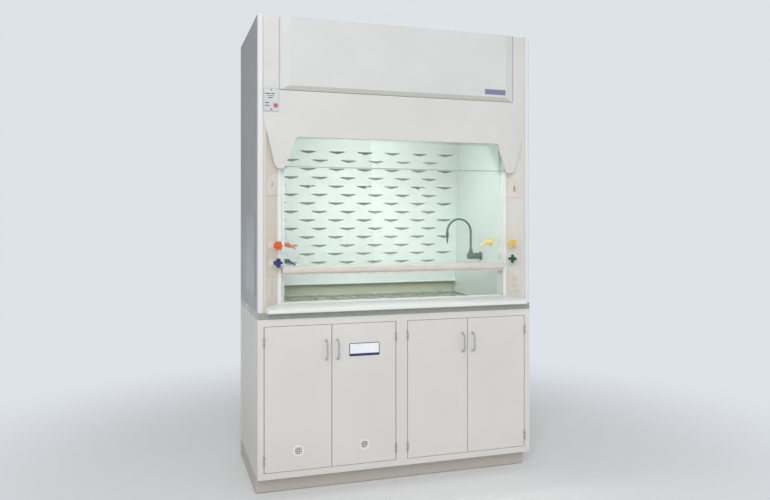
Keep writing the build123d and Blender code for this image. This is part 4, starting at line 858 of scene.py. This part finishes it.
def panelScrews():
    c, r, p, m = coverScrews, rearScrews, plateScrews, monitorScrews
    spots = border(evenly(c["front"] + c["margin"], c["back"] - c["margin"], c["across"]),
                   evenly(c["low"] + c["margin"], c["high"] - c["margin"], c["up"]))
    placeScrews("accessCoverScrews", [((sign * c["x"], y, z), (sign, 0, 0)) for sign in (-1, 1)
                                      for y, z in spots], "steel")
    spots = border(evenly(-r["x"], r["x"], r["across"]), evenly(r["low"], r["high"], r["up"]))
    placeScrews("rearPanelScrews", [((x, r["y"], z), (0, 1, 0)) for x, z in spots], "steel")
    heights = (p["switchHeight"] - p["switchReach"], p["switchHeight"] + p["switchReach"], p["outletHeight"])
    placeScrews("wallPlateScrews", [(onSide(side, 0.0, height, p["faceOut"]), sides[side]["out"])
                                    for side in sides for height in heights],
                "plate", slotName="white_plastic")
    placeScrews("monitorScrews", [(flank["middle"] + upwards * rise + flank["out"] * m["out"], flank["out"])
                                  for rise in (-m["reach"], m["reach"])], "dark")


panelScrews()
print("screws grown")


# Bare plates: one on the raised cover, one on a door

coverPlate = {"middle": (0.5375, -0.3672, 2.1015), "width": 0.127, "height": 0.031, "thickness": 0.0012,
              "rim": 0.0022, "corner": 0.002}
doorPlate = {"middle": (-0.206, -0.3452, 0.722), "width": 0.164, "height": 0.068, "thickness": 0.0008,
             "rim": 0.0035, "band": 0.010, "bandCorner": 0.0006, "lap": 0.0002, "corner": 0.006}


def barePlates():
    right, up = Vector((1, 0, 0)), upwards
    p = coverPlate
    middle = Vector(p["middle"])
    builder = bmesh.new()
    framePlate(builder, middle, right, up, p["width"], p["height"], p["rim"], p["thickness"], p["corner"])
    pieceFrom(builder, "coverPlateRim", "plateSilver", "frame")
    builder = bmesh.new()
    roundedSlab(builder, middle, right, up, p["width"] - 2 * p["rim"], p["height"] - 2 * p["rim"],
                p["thickness"] * 0.6, p["corner"] * 0.6)
    pieceFrom(builder, "coverPlateField", "plateGrey", "frame")
    p = doorPlate
    middle = Vector(p["middle"])
    builder = bmesh.new()
    framePlate(builder, middle, right, up, p["width"], p["height"], p["rim"], p["thickness"], p["corner"])
    low = middle - up * (p["height"] / 2 - p["rim"] - p["band"] / 2 + p["lap"])
    roundedSlab(builder, low, right, up, p["width"] - 2 * p["rim"] + 2 * p["lap"], p["band"], p["thickness"],
                p["bandCorner"])
    pieceFrom(builder, "doorPlateBorder", "navy", "door_left_inner")
    builder = bmesh.new()
    roundedSlab(builder, middle + up * (p["band"] / 2), right, up, p["width"] - 2 * p["rim"],
                p["height"] - 2 * p["rim"] - p["band"], p["thickness"] * 0.7, p["corner"] * 0.5)
    pieceFrom(builder, "doorPlateField", "plateWhite", "door_left_inner")


# Air monitor: generic printed bars, a rim round the key and an outline round its face

monitorFace = {"out": 0.0093, "bars": [(-0.018, 0.030, 0.026, 0.0042), (0.008, 0.030, 0.018, 0.0042),
                                       (-0.004, 0.019, 0.034, 0.0022), (-0.004, 0.009, 0.024, 0.0040),
                                       (-0.020, -0.016, 0.020, 0.0040), (-0.020, -0.030, 0.022, 0.0042)],
               "barThickness": 0.00025, "keyAcross": 0.022, "keyRise": -0.029,
               "keyRim": (0.0235, 0.0235, 0.0016, 0.0006, 0.002),
               "outline": (0.069, 0.108, 0.0007, 0.0003, 0.003)}


def monitorMarks():
    m = monitorFace
    start = flank["middle"] + flank["out"] * m["out"]
    builder = bmesh.new()
    for across, rise, width, height in m["bars"]:
        roundedSlab(builder, start + flank["across"] * across + upwards * rise, flank["across"], upwards,
                    width, height, m["barThickness"], height * 0.3, steps=3)
    pieceFrom(builder, "monitorBars", "dark", "frame")
    builder = bmesh.new()
    key = start + flank["across"] * m["keyAcross"] + upwards * m["keyRise"]
    framePlate(builder, key, flank["across"], upwards, *m["keyRim"])
    framePlate(builder, start, flank["across"], upwards, *m["outline"])
    pieceFrom(builder, "monitorRims", "greyPrint", "frame")


# Pilot light and printed arc on the blower's switch plate

pilot = {"height": 1.561, "width": 0.016, "tall": 0.0045, "thickness": 0.0014, "corner": 0.001,
         "edge": 0.0004, "faceOut": 0.0038, "arcRadius": 0.019, "arcHeight": 1.587, "arcStretch": 1.1,
         "arcStart": -150.0, "arcSweep": 220.0, "arcSteps": 28, "arcBead": 0.0007}


def blowerPilot():
    p = pilot
    builder = bmesh.new()
    roundedSlab(builder, onSide("right", 0.0, p["height"], p["faceOut"]), -sides["right"]["across"], upwards,
                p["width"], p["tall"], p["thickness"], p["corner"], p["edge"], 3)
    pieceFrom(builder, "pilotLight", "red", "frame")
    run = []
    for step in range(p["arcSteps"] + 1):
        angle = math.radians(p["arcStart"] + p["arcSweep"] * step / p["arcSteps"])
        rise = p["arcRadius"] * math.sin(angle) * p["arcStretch"]
        run.append(onSide("right", p["arcRadius"] * math.cos(angle), p["arcHeight"] + rise, p["faceOut"]))
    beads.grow("switchArc", pathMesh("arcPath", [(run, False)]), "greyPrint", "frame", "grey_plastic",
               {"Bead radius": p["arcBead"], "Sides": 6})


# Sealant round the foot of the chamber, and gaskets round the access covers

sealant = {"x": 0.6115, "front": -0.247, "back": 0.398, "height": 0.9315, "radius": 0.0035, "corner": 0.012,
           "steps": 6}
gasket = {"x": 0.7622, "radius": 0.0008}


def sealChamber():
    s = sealant
    run = [(s["x"], s["front"], s["height"])]
    for x, start in ((s["x"], 0.0), (-s["x"], 90.0)):
        centreX = x - math.copysign(s["corner"], x)
        centreY = s["back"] - s["corner"]
        for step in range(s["steps"] + 1):
            angle = math.radians(start + 90.0 * step / s["steps"])
            run.append((centreX + s["corner"] * math.cos(angle), centreY + s["corner"] * math.sin(angle),
                        s["height"]))
    run.append((-s["x"], s["front"], s["height"]))
    beads.grow("chamberSealant", pathMesh("sealPath", [(run, False)]), "sealant", "frame", "liner",
               {"Bead radius": s["radius"], "Sides": 10})


def coverGaskets():
    c = coverScrews
    corners = ((c["front"], c["low"]), (c["back"], c["low"]), (c["back"], c["high"]), (c["front"], c["high"]))
    runs = [([(sign * gasket["x"], y, z) for y, z in corners], True) for sign in (-1, 1)]
    beads.grow("accessCoverGaskets", pathMesh("gasketPath", runs), "dark", "frame", "dark_coat",
               {"Bead radius": gasket["radius"], "Sides": 6})


# Wire rope over the pulleys: strands laid round the rope's own line, one piece for each moving stretch

ropeSizes = {"x": 0.643, "sashY": -0.266, "weightY": -0.195, "pulleyZ": 2.368, "pulleyRadius": 0.0355,
             "pulleyY": -0.2305, "sashTop": 1.850, "weightTop": 2.152, "strandRadius": 0.00052,
             "layRadius": 0.00098, "pitch": 0.018, "strands": 6, "arcSteps": 40, "sharpAngle": 80.0}


def ropeTree():
    tree = Grower("wireRope", {"Strand radius": 0.0005, "Lay radius": 0.001, "Pitch": 0.018, "Step": 0.0022})
    path = tree.add("GeometryNodeMeshToCurve", {"Mesh": tree.inputs["Start"]})
    fine = tree.add("GeometryNodeResampleCurve", {"Curve": path.outputs[0]}, mode="LENGTH")
    tree.wire(tree.inputs["Step"], fine, "Length")
    along = tree.add("GeometryNodeSplineParameter").outputs["Length"]
    normal = tree.add("GeometryNodeInputNormal").outputs[0]
    tangent = tree.add("GeometryNodeInputTangent").outputs[0]
    joined = tree.add("GeometryNodeJoinGeometry")
    ring = tree.add("GeometryNodeCurvePrimitiveCircle", {"Resolution": 5,
                                                         "Radius": tree.inputs["Strand radius"]})
    turns = tree.maths("MULTIPLY", tree.maths("DIVIDE", along, tree.inputs["Pitch"]), 2 * math.pi)
    for strand in range(ropeSizes["strands"]):
        angle = tree.maths("ADD", turns, 2 * math.pi * strand / ropeSizes["strands"])
        swing = tree.add("ShaderNodeVectorRotate", {"Vector": normal, "Axis": tangent, "Angle": angle},
                         rotation_type="AXIS_ANGLE")
        reach = tree.add("ShaderNodeVectorMath", {0: swing.outputs[0]}, operation="SCALE")
        tree.wire(tree.inputs["Lay radius"], reach, "Scale")
        moved = tree.add("GeometryNodeSetPosition", {"Geometry": fine.outputs[0], "Offset": reach.outputs[0]})
        tube = tree.add("GeometryNodeCurveToMesh", {
            "Curve": moved.outputs[0], "Profile Curve": ring.outputs[0], "Fill Caps": True})
        tree.wire(tube.outputs[0], joined, 0)
    tree.close(joined.outputs[0])
    return tree


def wireRopes():
    tree = ropeTree()
    r = ropeSizes
    sizes = {"Strand radius": r["strandRadius"], "Lay radius": r["layRadius"], "Pitch": r["pitch"]}
    overs = []
    for sign in (-1, 1):
        arc = []
        for step in range(r["arcSteps"] + 1):
            angle = math.radians(180.0 - 180.0 * step / r["arcSteps"])
            arc.append((sign * r["x"], r["pulleyY"] + r["pulleyRadius"] * math.cos(angle),
                        r["pulleyZ"] + r["pulleyRadius"] * math.sin(angle)))
        overs.append((arc, False))
    over = tree.grow("ropesOverPulleys", pathMesh("ropeOver", overs), "steel", "frame", "steel", sizes,
                     r["sharpAngle"])
    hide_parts("sash_cables")
    for sign, hand in ((-1, "Left"), (1, "Right")):
        for name, y, low, body in (("sashRope", r["sashY"], r["sashTop"], "sash"),
                                   ("weightRope", r["weightY"], r["weightTop"], "weight_" + hand.lower())):
            run = [(sign * r["x"], y, low), (sign * r["x"], y, r["pulleyZ"])]
            piece = tree.grow(name + hand, pathMesh("ropeRun", [(run, False)]), "steel", None, "steel", sizes,
                              r["sharpAngle"])
            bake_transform(piece)


barePlates()
monitorMarks()
blowerPilot()
sealChamber()
coverGaskets()
wireRopes()
print("plates, marks, sealant and ropes made")


# Small fittings: screws of the lift handle, tracks and roof, dark slabs behind the outlet slots as painted
# shade, the lower edge trim of the view pane and the catches of the doors

fittings = {
    "handleAcross": (0.604, 0.618), "handleRise": (1.1158, 1.1246), "handleFace": -0.2866,
    "trackAcross": 0.641, "trackRise": (1.000, 1.108, 1.700), "trackFace": -0.2811,
    "roofAcross": 0.750, "roofFront": -0.290, "roofBack": 0.380, "roofTop": 2.418, "roofCount": 8,
    "outletHeight": 1.049, "outletPitch": 0.019, "bladeAcross": 0.0063, "bladeRise": 0.003,
    "bladeSize": (0.0019, 0.0074), "bladeCorner": 0.0003, "groundDrop": -0.0075, "groundSize": 0.0046,
    "groundCorner": 0.00207, "slotShadeDepth": 0.0011, "slotShadeThickness": 0.0008,
    "trimHalf": 0.640, "trimLow": 1.6704, "trimHigh": 1.6744, "trimFront": -0.2868, "trimBack": -0.2812,
    "catchMiddle": 0.381, "catchSpread": 0.032, "catchSize": (0.046, 0.014, 0.012), "catchFront": -0.3243,
    "catchTop": 0.8606, "catchEdge": 0.0012,
}


def boxBetween(builder, low, high):
    size = Vector(high) - Vector(low)
    corners = bmesh.ops.create_cube(builder, size=1.0)["verts"]
    for corner in corners:
        corner.co = Vector(low) + Vector([(corner.co[axis] + 0.5) * size[axis] for axis in range(3)])


def fittingScrews():
    f = fittings
    placeScrews("handleEndScrews", [((x, f["handleFace"], z), (0, -1, 0)) for x in f["handleAcross"]
                                    for z in f["handleRise"]], "dark", "sash")
    placeScrews("trackScrews", [((sign * f["trackAcross"], f["trackFace"], z), (0, -1, 0))
                                for sign in (-1, 1) for z in f["trackRise"]], "dark")
    placeScrews("roofScrews", [((sign * f["roofAcross"], y, f["roofTop"]), (0, 0, 1)) for sign in (-1, 1)
                               for y in evenly(f["roofFront"], f["roofBack"], f["roofCount"])], "steel")


def outletSlotShade():
    f = fittings
    # Dark slabs behind the blade and ground openings: painted shade in the outlet slots
    depth, thickness = f["slotShadeDepth"], f["slotShadeThickness"]
    builder = bmesh.new()
    for side in sides:
        across = sides[side]["across"]
        for step in (-1, 1):
            middle = f["outletHeight"] + step * f["outletPitch"]
            for reach in (-f["bladeAcross"], f["bladeAcross"]):
                roundedSlab(builder, onSide(side, reach, middle + f["bladeRise"], depth), across, upwards,
                            *f["bladeSize"], thickness, f["bladeCorner"], steps=2)
            roundedSlab(builder, onSide(side, 0.0, middle + f["groundDrop"], depth), across, upwards,
                        f["groundSize"], f["groundSize"], thickness, f["groundCorner"])
    pieceFrom(builder, "outletSlotShade", "dark", "frame")


def trimAndCatches():
    f = fittings
    builder = bmesh.new()
    boxBetween(builder, (-f["trimHalf"], f["trimFront"], f["trimLow"]),
               (f["trimHalf"], f["trimBack"], f["trimHigh"]))
    pieceFrom(builder, "viewPaneTrim", "greyPrint", "frame")
    builder = bmesh.new()
    wide, deep, tall = f["catchSize"]
    for side in (-1, 1):
        for reach in (-1, 1):
            x = side * f["catchMiddle"] + reach * f["catchSpread"]
            boxBetween(builder, (x - wide / 2, f["catchFront"], f["catchTop"] - tall),
                       (x + wide / 2, f["catchFront"] + deep, f["catchTop"]))
    bmesh.ops.bevel(builder, geom=builder.edges[:], offset=f["catchEdge"], segments=2, affect="EDGES")
    pieceFrom(builder, "doorCatches", "greyPrint", "frame")


fittingScrews()
outletSlotShade()
trimAndCatches()
print("small fittings made")
